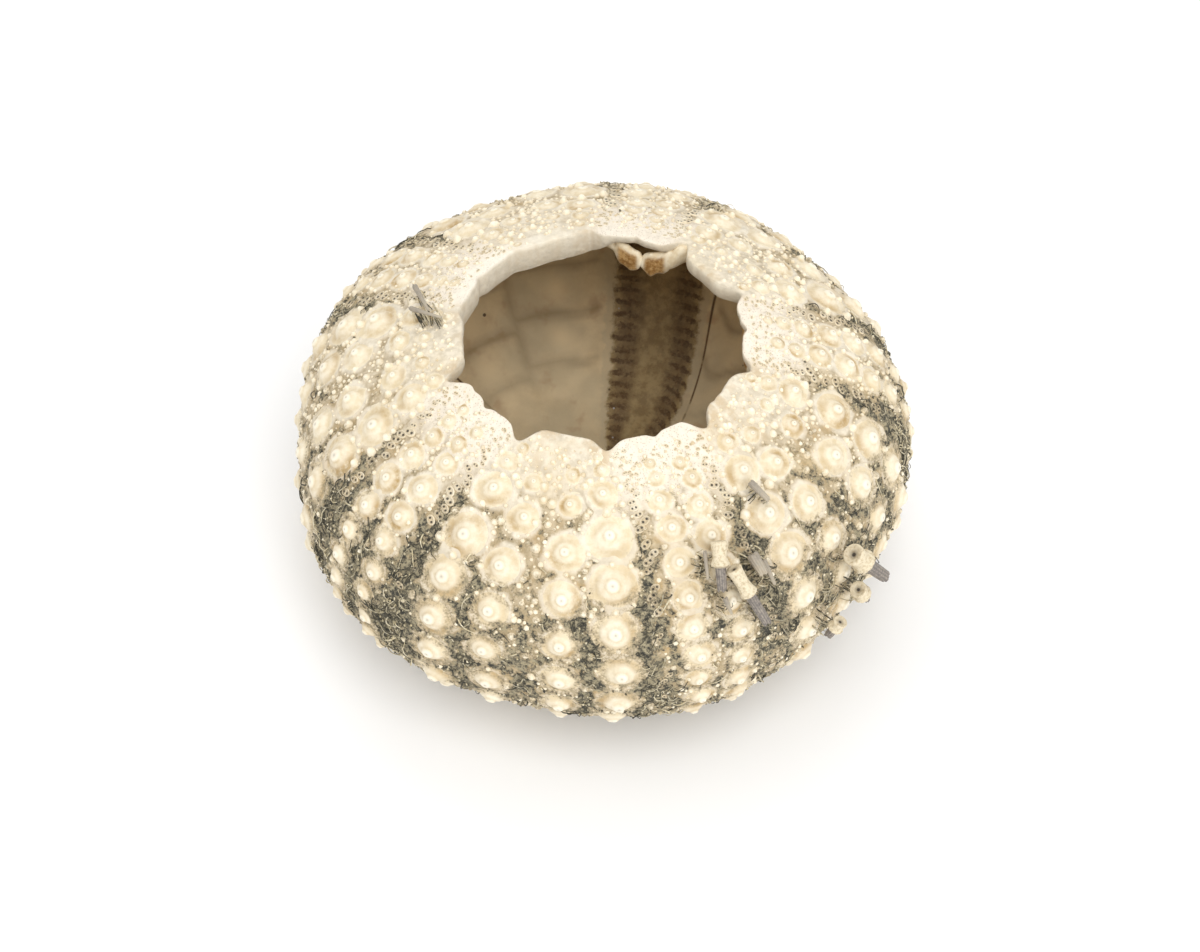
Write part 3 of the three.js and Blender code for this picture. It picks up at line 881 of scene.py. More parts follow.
def add_rim_band(rings):
    """The rounded edge of the rim, from the inner wall up to the outer skin."""
    azimuth = around(SKIN_COLUMNS)
    turn = np.radians(azimuth)
    outside, inside, _ = rim_points(azimuth)
    inward = np.stack([-np.sin(turn), np.cos(turn), np.full(SKIN_COLUMNS, 0.25)], axis=-1)
    uneven = 1 + 0.15 * waves(azimuth, (31, 57, 90), 5)
    values = skin_values(azimuth, rim_set_back(azimuth))
    # The rim's rounded edge gets a little painted shade along with its pale tone.
    values.update(porous=0, tip=0.45, grime=0.2 * values["grime"], hollow=0.1, tan=0.24 + 0.5 * values["tan"])
    for t in np.arange(RIM_BAND_ROWS) / RIM_BAND_ROWS:
        bulge = RIM_BULGE * math.sin(math.pi * t) ** 0.7 * uneven
        rings.add(lerp(inside, outside, t) + inward * bulge[:, None], -1.6 + 1.4 * t, **values)


def build_skin():
    """The outer skin. Its rings start along the ragged rim and are level from 4 mm below it."""
    rings = Rings()
    add_rim_band(rings)
    drop = 0.0
    while drop < SHELL_END:
        fewer = 1 if drop < HALF_COLUMNS_FROM else 2 if drop < QUARTER_COLUMNS_FROM else 4
        azimuth = around(SKIN_COLUMNS // fewer)
        distance = drop + rim_set_back(azimuth) * (1 - smoothstep(drop, 0, 4))
        seam, genital_pore, _ = disc_relief(azimuth, distance)
        lift = sample(height, azimuth, distance) - 0.07 * seam - 0.2 * genital_pore
        lift += 0.1 * sample(grime, azimuth, distance) * (sample(stain, azimuth * 3.7 % 360, distance) - 0.2)
        points = outside_point(azimuth, distance, lift * smoothstep(drop, -0.1, 0.5) - skin_depth(distance))
        if drop < SPLIT_DISTANCE:
            split = len(rings.places)
        rings.add(points, drop, **skin_values(azimuth, distance))
        drop += SKIN_STEP * (0.7 if drop < 1 else 1)
    low = outside_point(azimuth, SHELL_END, -skin_depth(SHELL_END))
    high = inner.point(azimuth, INNER_END, 0)
    # The bevel down into the opening at the top gets painted shade.
    for t in (0.0, 0.33, 0.67, 1.0):
        rings.add(lerp(low, high, t), SHELL_END + 0.1 + t,
                  grime=0.2 * t, hollow=0.3, porous=0, tan=0.3, pit=0, tip=0)
    points, values = rings.joined()
    end = len(rings.places) - 1
    normals = np.zeros_like(points)
    for group in rings.faces(0, end)[0]:
        a, b, c = (points[group[:, corner]] for corner in (0, 1, -1))
        for corner in group.T:
            np.add.at(normals, corner, np.cross(b - a, c - a))
    normals /= np.maximum(np.linalg.norm(normals, axis=1, keepdims=True), 1e-12)
    for name, first, last in (("test_oral_side", 0, split), ("test_apical_side", split, end)):
        faces, uvs = rings.faces(first, last)
        start, stop = rings.starts[first], rings.starts[last + 1]
        make_piece(name, points[start:stop], [group - start for group in faces], uvs, skin_paint,
                   {key: value[start:stop] for key, value in values.items()}, normals[start:stop])


# ---- The wall inside ----

INSIDE_COLUMNS, INSIDE_STEP = 360, 0.42
INSIDE_PLATE, INSIDE_BELT_EDGE = 3.9, 13.0
# Angles at which grooves run down inside, with their depths.
INSIDE_GROOVES = ((12.6, 0.08), (SECTOR / 2, 0.08), (0, 0.05))


def build_inside():
    rings = Rings()
    rows = int((INNER_END - inner.to_radius(MOUTH_RADIUS + RIM_LAP)) / INSIDE_STEP)
    for row in range(rows + 1):
        azimuth = around(INSIDE_COLUMNS * (2 if row == 0 else 1))
        start = rim_points(azimuth)[2]
        along = lerp(start, INNER_END, row / rows)
        gone = along - start
        signed = angle_in_sector(azimuth)
        angle = np.abs(signed)
        ridge = edge_depth(azimuth) * (1 - smoothstep(gone, *EDGE_FALL))
        swell = 0.08 * waves(azimuth, (9, 14, 22), 8) * waves(gone * 9, (5, 11), 9) * smoothstep(gone, 0, 2)
        groove = sum(deep * bell(angle - at, 0.9) for at, deep in INSIDE_GROOVES)
        depth = ridge + swell - groove * smoothstep(gone, 1, 4)
        lean = lerp(0.8, -2.4, smoothstep(gone, 20, 31))
        belt_angle = np.abs(signed - lean) / lerp(1.0, 1.32, smoothstep(gone, 21, 31))
        across = (angle - INSIDE_BELT_EDGE) / (SECTOR / 2 - INSIDE_BELT_EDGE)
        width = math.radians(SECTOR / 2 - INSIDE_BELT_EDGE) * inner.at(along)[0]
        step = gone / INSIDE_PLATE + 0.5 * (signed > 0) + 0.3 * sector_index(azimuth)
        from_joint = (step - np.round(step)) * INSIDE_PLATE
        from_middle = np.hypot(INSIDE_PLATE / 2 - np.abs(from_joint), (across - 0.5) * width)
        between = smoothstep(across, 0, 0.1) * smoothstep(gone, 2, 6) * (1 - smoothstep(gone, 24, 32))
        rings.add(inner.point(azimuth, along, -depth), row / rows, angle=belt_angle, along=gone,
                  lip=1 - smoothstep(gone, 0.9, 2.2), shift=np.where(signed > lean, 0.46, 0),
                  seam=(signed < lean) * smoothstep(gone, 11, 14) * (1 - smoothstep(gone, 28, 30)),
                  # Painted light: where the plates' middles glow as if lit through the thin wall.
                  thin=bell(from_middle, 1.15) * between,
                  joint=np.maximum(bell(from_joint, 0.4), 0.8 * bell((across - 1) * width, 0.4)) * between)
    points, values = rings.joined()
    faces, uvs = ([group[:, ::-1] for group in groups] for groups in rings.faces(0, rows))
    make_piece("test_inside", points, faces, uvs, inside_paint, values)


# ---- The arches inside the mouth ----

# Half of the route of an arch: angle, radius and height. The other half mirrors it.
ARCH_ROUTE = ((-20, 11.5, 22.4), (-18, 10.9, 22.4), (-14.5, 10.3, 21.9), (-10, 9.75, 21.35), (-5, 9.5, 21.0),
              (0, 9.45, 21.05))
# Azimuth of each arch, and how far it stands outwards of the route.
ARCHES = ((22, 0.1), (94, 0.75), (162.5, 0), (310, 0.2))
ARCH_STEPS, ARCH_SIDES = 96, 24
ARCH_HALF_ANGLE = 20
PAD_ANGLE, PAD_HALF_ANGLE = 6.2, 5.9
SKIN_ROOM = 0.5


def build_arches():
    route = np.array(ARCH_ROUTE + tuple((-a, r, z) for a, r, z in ARCH_ROUTE[-2::-1]))
    quads, turn, down = (part[:, [0, 3, 2, 1]] for part in tube(ARCH_STEPS, ARCH_SIDES))
    angle = np.linspace(-ARCH_HALF_ANGLE, ARCH_HALF_ANGLE, ARCH_STEPS)[:, None]
    pad = np.clip(1 - ((np.abs(angle) - PAD_ANGLE) / PAD_HALF_ANGLE) ** 2, 0, 1) ** 0.5
    root = smoothstep(np.abs(angle), np.where(angle < 0, 8, 11), np.where(angle < 0, 14, 18))
    spin = around(ARCH_SIDES, WHOLE_TURN)[None, :]
    inwards, upwards = np.cos(spin), np.sin(spin)
    cup = 0.3 * pad ** 3 * np.clip(inwards, 0, 1) ** 3
    tan_share = smoothstep(pad, 0.45, 0.85) * smoothstep(inwards, 0.35, 0.8)
    points, faces, uvs = [], [], []
    for k, (middle, outwards) in enumerate(ARCHES):
        radius = np.interp(angle, route[:, 0], route[:, 1]) + outwards
        wobble = 1 + 0.06 * waves(angle * 9 + 50 * k, (3, 5, 8), 40 + k)
        tall = (0.42 + 0.62 * pad + 0.5 * root) * wobble
        deep = (0.32 + 0.14 * pad + 0.3 * root) * wobble
        lump = 1 + 0.05 * np.sin(3 * spin + angle * 0.9 + k)
        r = np.maximum(radius - deep * (inwards - cup) * lump, radius - 1.0)
        z = np.interp(angle, route[:, 0], route[:, 2]) + tall * upwards * lump - 0.12 * inwards
        crown = WIDEST_Z + ORAL_RISE * (1 - (r / SHELL_RADIUS) ** ORAL_POWER) ** (1 / ORAL_POWER)
        points.append(place_around(middle + angle, r, np.minimum(z, crown - SKIN_ROOM)).reshape(-1, 3))
        faces.append(quads + k * ARCH_STEPS * ARCH_SIDES)
        uvs.append(np.stack([(k + 0.04 + 0.92 * turn) / 5, down], axis=-1))
    make_piece("auricle_arches", np.concatenate(points), faces, uvs, arch_paint,
               {"tan": np.tile(tan_share.ravel(), len(ARCHES))})


# ---- Tubercles ----

# Radius and height of each ring, as shares of the areole's radius and of the whole height.
TUBERCLE_RINGS = (
    (0.98, -0.1), (0.9, 0.05), (0.8, 0.1), (0.72, 0.08), (0.65, 0.09), (0.59, 0.18), (0.52, 0.34),
    (0.44, 0.47), (0.35, 0.58), (0.27, 0.68), (0.23, 0.8), (0.18, 0.91), (0.12, 0.96), (0.06, 0.93))
SMALL_TUBERCLE_RINGS = (
    (0.98, -0.1), (0.88, 0.07), (0.74, 0.1), (0.62, 0.22), (0.5, 0.44), (0.36, 0.62), (0.28, 0.8),
    (0.16, 0.96))
# The same for forms without an areole, as shares of their own radius and height.
BEAD_RINGS = ((1.4, -0.45), (1.12, 0.12), (0.74, 0.4), (0.6, 0.78))
GRAIN_RINGS = ((0.98, -0.5), (0.92, 0.42))
# The least areole of a large tubercle, and the share of an areole at which the boss ends in the rings above.
LARGE_AREOLE, BOSS_SHARE = 0.95, 0.47
# Granules stand this far apart, closer by turns, on ground that is free and not worn bare. GRAIN_SHARE of
# them stay.
GRAIN_GAP, GRAIN_GAP_SWING, GRAIN_SHARE = 0.47, 0.07, 0.86
MOST_TAKEN, MOST_WORN = 0.35, 0.45
LEAST_GRAIN, GRAIN_SPAN = 0.105, 0.14


def surface_height(azimuth, distance):
    return sample(height, azimuth, distance) - skin_depth(distance)


def build_tubercles():
    """Boss, neck and mamelon of each large tubercle, with uneven tan rings of painted shade, some real tan
    stain, and a pale top with a painted highlight and a grey dent of painted shade.
    """
    is_large = tubercles[:, 4] > LARGE_AREOLE
    for name, chosen, form in (("tubercles_large", is_large, Turned(TUBERCLE_RINGS, 0.9, 20)),
                               ("tubercles_small", ~is_large, Turned(SMALL_TUBERCLE_RINGS, 0.92, 14))):
        azimuth, distance, boss, tall, areole = upright(tubercles[chosen])
        each, radius = azimuth.shape, form.radius
        spin = rng.uniform(0, WHOLE_TURN, each)
        angle = form.turn + spin
        outer_part = np.clip((radius - 0.4) / 0.5, 0, 1)
        lobes = rng.integers(4, 8, each)
        scallop = 1 + outer_part * (0.04 * np.cos(lobes * angle) + 0.07 * np.cos(2 * angle + spin)
                                    + 0.05 * np.cos(3 * angle - spin))
        reach = radius * areole * lerp(boss / (BOSS_SHARE * areole), 1, outer_part) * scallop
        x, y = reach * np.cos(angle), reach * np.sin(angle)
        follow = skin_depth(distance + y) - skin_depth(distance)
        worn = 1 - 0.42 * bell((azimuth + 360) % 360 - 180, 65) - 0.2 * rng.random(each) ** 2
        up = 0.02 * tall - skin_depth(distance) + (form.height * tall - follow * outer_part) * worn
        lean = upright(rng.normal(0, 0.09, (len(azimuth), 2)) * tall) * form.height
        x, y = x + lean[0], y + lean[1]
        # Painted shade: uneven tan rings round the foot of the boss, on its slope and at the mamelon's neck,
        # stronger on one side of each tubercle, plus a random share of real tan stain. The crevice value set
        # below follows these rings as painted shade.
        towards = form.turn - rng.uniform(0, WHOLE_TURN, each)
        uneven = np.clip(0.45 + 0.4 * np.cos(towards) + 0.25 * np.cos(2 * towards + 1), 0, 1)
        tan = uneven * (bell(radius - 0.66, 0.15) + 0.3 * bell(radius - 0.45, 0.1))
        tan = tan + 0.22 * bell(radius - 0.29, 0.05)
        tan = tan + 0.3 * rng.random(each) ** 2
        tan_share = np.clip(rng.normal(0.75, 0.28, each), 0.15, 1.3)
        dirt = sample(blur(grime, 2), beside(azimuth, distance, x), distance + y)
        make_copies(name, form, azimuth, distance, x, y, np.minimum(up, 0), tubercle_paint, {
            "tan": np.clip(tan * tan_share, 0, 1),
            # Painted highlight on the mamelon's top and on a band of the boss's slope; the outer areole's rim
            # is pale calcite.
            "tip": 0.65 * (1 - smoothstep(radius, 0.18, 0.28)) + 0.3 * bell(radius - 0.42, 0.1)
            + 0.3 * smoothstep(radius, 0.78, 0.9),
            # Painted shade in the small dent on the mamelon's top.
            "pit": 0.14 * (radius < 0.08) + 0.3 * (radius == 0),
            "grime": np.minimum(dirt * smoothstep(radius, 0.36, 0.86) * 1.15, 0.3),
            "hollow": 0.15 * tan, "porous": 0})


def build_beads(spots):
    """The small round tubercles between the large ones."""
    azimuth, distance, radius = upright(spots)
    form, radius = Turned(BEAD_RINGS, 1.05, 8), 0.9 * radius
    foot = surface_height(azimuth, distance) - 0.1 * radius
    tall = np.minimum(0.92 * radius, -foot / 1.05 - 0.01)
    spin = rng.uniform(0, 6, radius.shape)
    # Painted highlight on each bead's top, and painted shade as tan round its foot.
    make_turned("tubercles_secondary", form, azimuth, distance, radius, tall, foot, spin, 0.05, {
        "grime": 0.6 * sample(grime, azimuth, distance),
        "tip": smoothstep(form.height, 0.5, 1) * 0.45,
        "tan": 0.5 * (1 - smoothstep(form.height, -0.2, 0.4))})


def lay_out_granules(beads, pores):
    """Grains scattered evenly between the tubercles, a fixed gap apart and never on another form."""
    taken = covered.copy()
    for forms, room in ((beads, 1.25), (pores, 1.15)):
        for azimuth, distance, radius in forms:
            cells, across, down = window(azimuth, distance, radius * room)
            stamp(taken, cells, np.hypot(across, down) < radius * room)
    rows, offset, here = [], 0.0, 0.5
    while here < DISC_EDGE + 1.6:
        gap = GRAIN_GAP + GRAIN_GAP_SWING * math.sin(here * 1.9)
        radius = float(ring_radius(here))
        count = int(WHOLE_TURN * radius / (gap * 1.12))
        azimuth = (np.arange(count) + offset) * 360 / count
        azimuth = azimuth + rng.uniform(-0.3, 0.3, count) * (gap / math.radians(1) / radius)
        rows.append(np.stack([azimuth, here + rng.uniform(-0.3, 0.3, count) * gap], axis=-1))
        here += gap * 0.92
        offset = 0.5 - offset
    spots = np.concatenate(rows)
    near_middle = np.abs(angle_in_sector(spots[:, 0])) < 16
    share = GRAIN_SHARE - 0.5 * (1 - smoothstep(spots[:, 1], 0.5, 5)) * near_middle
    share = share * (1 - 0.7 * smoothstep(sample(blur(grime, 3), *spots.T), 0.25, 0.55))
    spots = spots[(sample(taken, *spots.T) < MOST_TAKEN) & (rng.random(len(spots)) < share)]
    size = LEAST_GRAIN + GRAIN_SPAN * rng.random(len(spots)) ** 2.0
    near_mouth, near_disc = 0.62 + 0.09 * spots[:, 1], 0.55 + 0.05 * (DISC_EDGE - spots[:, 1])
    size *= np.clip(near_mouth, 0.62, 1) * np.clip(near_disc, 0.55, 1)
    spots = on_shell(np.column_stack([spots, size]), GRANULE_MARGIN)
    return spots[worn_edge(spots[:, 0], spots[:, 1]) < MOST_WORN]


def build_granules(spots):
    half, form = spots[:, 1] < SPLIT_DISTANCE, Turned(GRAIN_RINGS, 1.0, 6)
    for name, chosen in (("granules_oral", half), ("granules_apical", ~half)):
        azimuth, distance, radius = upright(spots[chosen])
        each = radius.shape
        foot = surface_height(azimuth, distance) - 0.15 * radius
        tall = np.minimum(radius * rng.uniform(0.75, 1.15, each), -foot - 0.01)
        spin = rng.uniform(0, 6, each)
        dirt = 0.9 * sample(grime, azimuth, distance) * (rng.random(each) < 0.75)
        # A random painted highlight on the top of each grain, fading in from 1 to 7 mm below the mouth, and
        # painted shade as tan round each grain's foot; grains near the mouth also get random real tan stain.
        shine = rng.uniform(0, 0.6, each) * smoothstep(distance, 1, 7)
        tan_share = lerp(0.5, 0, smoothstep(distance, 1, 8)) * rng.random(each)
        make_turned(name, form, azimuth, distance, radius, tall, foot, spin, 0.08, {
            "grime": dirt, "tip": smoothstep(form.height, 0.5, 1) * shine,
            "tan": (1 - smoothstep(form.height, -0.3, 0.4)) * 0.6 + tan_share})


# ---- Pore pairs of the tube feet ----

PAIRS_TO_A_PLATE = 4
PAIR_SIDES, PIT_SIDES = 10, 6
# Half length, half width, height and darkness of each ring of a pair's collar. The darkness is painted shade.
PAIR_RINGS = ((1.12, 0.78, -0.4, 0.0), (1.0, 0.66, 0.5, 0.0), (0.8, 0.46, 0.1, 0.25))
# Place and radius of its pits, and a scale for all heights, as shares of the half length.
PIT_PLACE, PIT_RADIUS, COLLAR_HEIGHT = 0.42, 0.25, 0.32


def lay_out_pores():
    """Rows of (azimuth, distance, half length, slant) for the pore pairs, in an arc on each belt plate."""
    rows = []
    for middle, side, distance, tall in BELT_PLATES:
        edge, lower_down = belt_edge(distance), smoothstep(distance, 9, 14)
        start = belt_row(distance) + math.degrees(0.3 * tall / ring_radius(distance))
        for t in (np.arange(PAIRS_TO_A_PLATE) + 0.5) / PAIRS_TO_A_PLATE:
            across = lerp(start + 0.6, edge - 0.9, 0.12 + 0.8 * math.sin(math.pi * (0.12 + 0.7 * t)))
            if distance > 9:
                across = lerp(across, edge - 1.4, 0.4)
            half = lerp(0.17, 0.4, smoothstep(distance, 1.5, 6.5)) * lerp(1, 0.7, lower_down)
            half *= min(1, 0.5 + 0.07 * (DISC_EDGE - distance)) * rng.uniform(0.85, 1.1)
            azimuth = middle + side * across + rng.normal(0, 0.18)
            here = distance + (t - 0.5) * tall * 0.98 + rng.normal(0, 0.03)
            if here > 0.25 and rng.random() > 0.1 + 0.45 * lower_down:
                rows.append((azimuth, here, half, side * (0.5 + rng.normal(0, 0.18))))
    for middle in FIRST_AMBULACRUM + SECTOR * np.arange(5):
        for distance in np.arange(0.6, 6, 0.36):
            reach = belt_edge(distance) - 1
            for across in np.arange(-reach, reach, math.degrees(0.62 / ring_radius(distance))):
                if rng.random() < 0.62 * (1 - distance / 7):
                    rows.append((middle + across + rng.normal(0, 0.8), distance + rng.normal(0, 0.1),
                                 rng.uniform(0.1, 0.17), rng.uniform(-1, 1)))
    return on_shell(np.array(rows), PORE_MARGIN)


class PorePair(Form):
    """A low oval collar with two dark pits in its floor, and how dark each of its points is, as painted
    shade.
    """

    def __init__(self):
        turn, spin = around(PAIR_SIDES, WHOLE_TURN), around(PIT_SIDES, WHOLE_TURN)
        parts = [(a * np.cos(turn), b * np.sin(turn), height, dark) for a, b, height, dark in PAIR_RINGS]
        parts.append(([0.0], 0.0, 0.16, 0.1))
        fans, count = [fan(2 * PAIR_SIDES, PAIR_SIDES, 3 * PAIR_SIDES)], 3 * PAIR_SIDES + 1
        for centre in (-PIT_PLACE, PIT_PLACE):
            parts += [(centre + PIT_RADIUS * np.cos(spin), PIT_RADIUS * np.sin(spin), 0.2, 0.85),
                      ([centre], 0.0, 0.12, 1.0)]
            fans.append(fan(count, PIT_SIDES, count + PIT_SIDES))
            count += PIT_SIDES + 1
        parts = [np.broadcast_arrays(*part) for part in parts]
        self.x, self.y, self.z, self.dark = np.concatenate(parts, axis=1)
        super().__init__([tube(len(PAIR_RINGS), PAIR_SIDES)[0], np.concatenate(fans)],
                         0.5 + 0.42 * self.x, 0.5 + 0.42 * self.y)


def build_pores(spots):
    form = PorePair()
    azimuth, distance, half, slant = upright(spots)
    up = surface_height(azimuth, distance) + 0.02 + form.z * COLLAR_HEIGHT * half
    x, y = rotated(form.x * half, form.y * half, slant)
    make_copies("pore_pairs", form, azimuth, distance, x, y, up, granule_paint, {
        # Painted shade in the pits, and painted shade as tan on the collar's floor and foot, below its top
        # rim.
        "pit": lerp(0.55, 1, smoothstep(half, 0.15, 0.3)) * form.dark,
        "grime": 0.45 * sample(grime, azimuth, distance),
        "tan": 0.5 * (form.z < 0.3)})


# ---- Dried fibres and grit ----

FIBRE_COUNT, FIBRE_STEPS, FIBRE_SIDES = 1700, 6, 4
HELD_FIBRES = 170
LONGEST_FIBRE, FIBRE_RADII = 1.7, (0.022, 0.07)
GRIT_COUNT, GRIT_SIZES = 5000, (0.045, 0.14)


def pick_dirty(count, sharp):
    """Places picked at random, more often where the grime is thick."""
    total = np.cumsum(((grime ** sharp) * CELL_WIDTHS[:, None]).ravel())
    row, column = np.divmod(np.searchsorted(total, rng.random(count) * total[-1]), CHART_COLUMNS)
    azimuth = chart_azimuth[column] + rng.uniform(-0.12, 0.12, count)
    return azimuth[:, None], (chart_distance[row] + rng.uniform(-0.05, 0.05, count))[:, None]


def near_spines(count):
    """Places under the spines, and the height of the spine's axis there, for the fibres that hold them."""
    rods = np.array([rod[1:3] for rod in SPINES + SPLINTERS])
    rods = rods[rng.integers(len(rods), size=count)]
    azimuth, distance, lift = upright(lerp(rods[:, 0], rods[:, 1], rng.uniform(0.05, 0.9, (count, 1))))
    return azimuth + rng.normal(0, 0.8, (count, 1)), distance + rng.normal(0, 0.25, (count, 1)), lift


def build_fibres():
    azimuth, distance = pick_dirty(FIBRE_COUNT, 3)
    each = azimuth.shape
    azimuth[:HELD_FIBRES], distance[:HELD_FIBRES], lift = near_spines(HELD_FIBRES)
    length = np.minimum(rng.gamma(3.0, 0.3, each) + 0.35, LONGEST_FIBRE)
    length *= lerp(0.45, 1, smoothstep(sample(blur(grime, 2), azimuth, distance), 0.25, 0.6))
    thick, heading = rng.uniform(*FIBRE_RADII, each), rng.normal(math.pi / 2, 0.75, each)
    heading[:HELD_FIBRES] = rng.uniform(0, WHOLE_TURN, lift.shape)
    t = np.arange(FIBRE_STEPS + 1)
    bend = heading + rng.normal(0, 0.22, each) * t
    bow, ceiling = rng.uniform(0.02, 0.28, each), np.full(each, -0.02)
    bow[:HELD_FIBRES], ceiling[:HELD_FIBRES] = lift + 0.25, lift
    ways = np.stack([np.cos(bend), np.sin(bend)])
    line = np.cumsum(ways * (length / FIBRE_STEPS), axis=2)
    x, y = line - line.mean(axis=2, keepdims=True)
    rise = 0.03 + bow * np.sin(math.pi * t / FIBRE_STEPS)
    up = np.minimum(surface_height(beside(azimuth, distance, x), distance + y) + rise, ceiling)
    taper = (thick * (1 - 0.5 * (t / FIBRE_STEPS)))[:, :, None]
    spin = around(FIBRE_SIDES, WHOLE_TURN)
    sideways = ways[..., None] * np.cos(spin) * taper
    parts = x[:, :, None] - sideways[1], y[:, :, None] + sideways[0], up[:, :, None] + np.sin(spin) * taper
    size = len(t) * FIBRE_SIDES
    row, side = np.divmod(np.arange(size), FIBRE_SIDES)
    caps = [[0, 1, 2, 3], [size - 1, size - 2, size - 3, size - 4]]
    form = Form([np.concatenate([tube(len(t), FIBRE_SIDES)[0], caps])],
                0.1 + 0.6 * (side / FIBRE_SIDES), 0.1 + 0.8 * (row / len(t)))
    tint = (rng.random(each) < 0.55) * rng.uniform(0.4, 1, each)
    make_copies("dried_fibres", form, azimuth, distance, *(part.reshape(FIBRE_COUNT, -1) for part in parts),
                tissue_paint, {"tint": tint}, slot="dried_tissue")


def build_grit():
    azimuth, distance = pick_dirty(GRIT_COUNT, 1.6)
    each = azimuth.shape
    size = rng.uniform(*GRIT_SIZES, each)
    corners = np.array([(1, 0, 0), (0, 1, 0), (-1, 0, 0), (0, -1, 0), (0, 0, 1), (0, 0, -1)])
    faces = [(0, 4, 1), (1, 4, 2), (2, 4, 3), (3, 4, 0), (1, 5, 0), (2, 5, 1), (3, 5, 2), (0, 5, 3)]
    form = Form([np.array(faces)], *(0.5 + 0.4 * corners[:, :2]).T)
    a, b, c = np.moveaxis(corners * rng.uniform(0.5, 1.3, (GRIT_COUNT, 6, 1)) * size[:, :, None], -1, 0)
    x, y = rotated(a, b, rng.uniform(0, 6.3, each))
    up = np.minimum(surface_height(azimuth, distance) + 0.5 * size + (c + 0.5 * x), -0.01)
    tint = np.where(rng.random(each) < 0.55, rng.uniform(0.75, 1, each), 0.1)
    make_copies("dried_grit", form, azimuth, distance, x, y, up, tissue_paint, {"tint": tint},
                slot="dried_tissue")


# ---- Spines ----

# Name, start and end (azimuth, distance, height), collar radius, collar's place and shaft radius.
SPINES = (
    ("spine_1", (49.9, 13.4, 1.35), (55.9, 17.1, 1.65), 0.9, 1.5, 0.5),
    ("spine_2", (49.5, 16.2, 1.08), (52.2, 18.2, 1.0), 0.7, 1.05, 0.36),
    ("spine_3", (43.1, 16.6, 1.6), (42.0, 18.2, 0.78), 0.58, 0.8, 0.34),
    ("spine_4", (25.4, 7.9, 1.1), (23.1, 10.85, 0.8), 0.66, 1.5, 0.37),
    ("spine_5", (26.2, 9.7, 1.15), (29.8, 13.95, 0.75), 0.64, 2.1, 0.37),
)
# Name, start and end, and the radii there.
SPLINTERS = (
    ("splinter_1", (23.35, 11.3, 0.7), (23.9, 12.4, 0.6), 0.2, 0.1),
    ("splinter_2", (31.2, 9.5, 0.8), (31.9, 10.9, 0.8), 0.45, 0.36),
    ("splinter_3", (33.2, 10.2, 0.6), (33.5, 11.9, 0.55), 0.2, 0.12),
    ("splinter_4", (22.3, 8.2, 0.6), (21.3, 9.9, 0.55), 0.16, 0.1),
    ("splinter_5", (39.4, 5.6, 0.65), (40.7, 7.2, 0.65), 0.28, 0.2),
    ("splinter_6", (-109.5, 3.7, 0.6), (-98.6, 1.9, 0.6), 0.22, 0.1),
    ("splinter_7", (-99.8, 3.3, 0.7), (-94.9, 0.9, 0.6), 0.2, 0.08),
)
SPINE_SIDES, GROOVES = 36, 12


def turned_rod(name, start, end, rings):
    """A rod between two points. rings are (share of the length, radius, groove depth, values)."""
    low, high = outside_point(*np.array(start, float)), outside_point(*np.array(end, float))
    length = np.linalg.norm(high - low)
    axis = (high - low) / length
    side = np.cross(axis, (0.0, 0.0, 1.0))
    side /= np.linalg.norm(side)
    other = np.cross(axis, side)
    turn = around(SPINE_SIDES, WHOLE_TURN)[:, None]
    cut = 0.5 + 0.5 * np.cos(GROOVES * turn)
    torn = np.sin(3 * turn + 1) * (0.6 + 0.4 * np.cos(7 * turn))
    points, values = [], {"shaft": [], "tan": [], "pit": [], "hollow": []}
    for along, radius, groove, marks in rings:
        outwards = radius * (1 - groove * cut) * (np.cos(turn) * side + np.sin(turn) * other)
        points.append(low + axis * (along * length) + marks.get("ragged", 0) * torn * axis + outwards)
        for key in ("shaft", "tan", "pit"):
            values[key].append(np.full(SPINE_SIDES, marks.get(key, 0.0)))
        # Painted shade in the shaft's grooves, by their depth.
        values["hollow"].append(cut[:, 0] * marks.get("shaft", 0.0))
    count = len(rings)
    quads, column, row = (part[:, [0, 3, 2, 1]] for part in tube(count, SPINE_SIDES))
    caps = [fan(first, SPINE_SIDES, tip)[:, order] for first, tip, order in (
        (0, count * SPINE_SIDES, [2, 0, 1]), ((count - 1) * SPINE_SIDES, count * SPINE_SIDES + 1, [0, 2, 1]))]
    uvs = [0.02 + 0.96 * np.stack([column, row], axis=-1)] + [np.full((SPINE_SIDES, 3, 2), 0.99)] * 2
    points += [points[0].mean(axis=0)[None], points[-1].mean(axis=0)[None]]
    values = {key: np.concatenate([*value, [value[0][0], value[-1][0]]]) for key, value in values.items()}
    make_piece(name + "_calcite", np.concatenate(points), [quads, *caps], uvs, spine_paint, values,
               node=name)


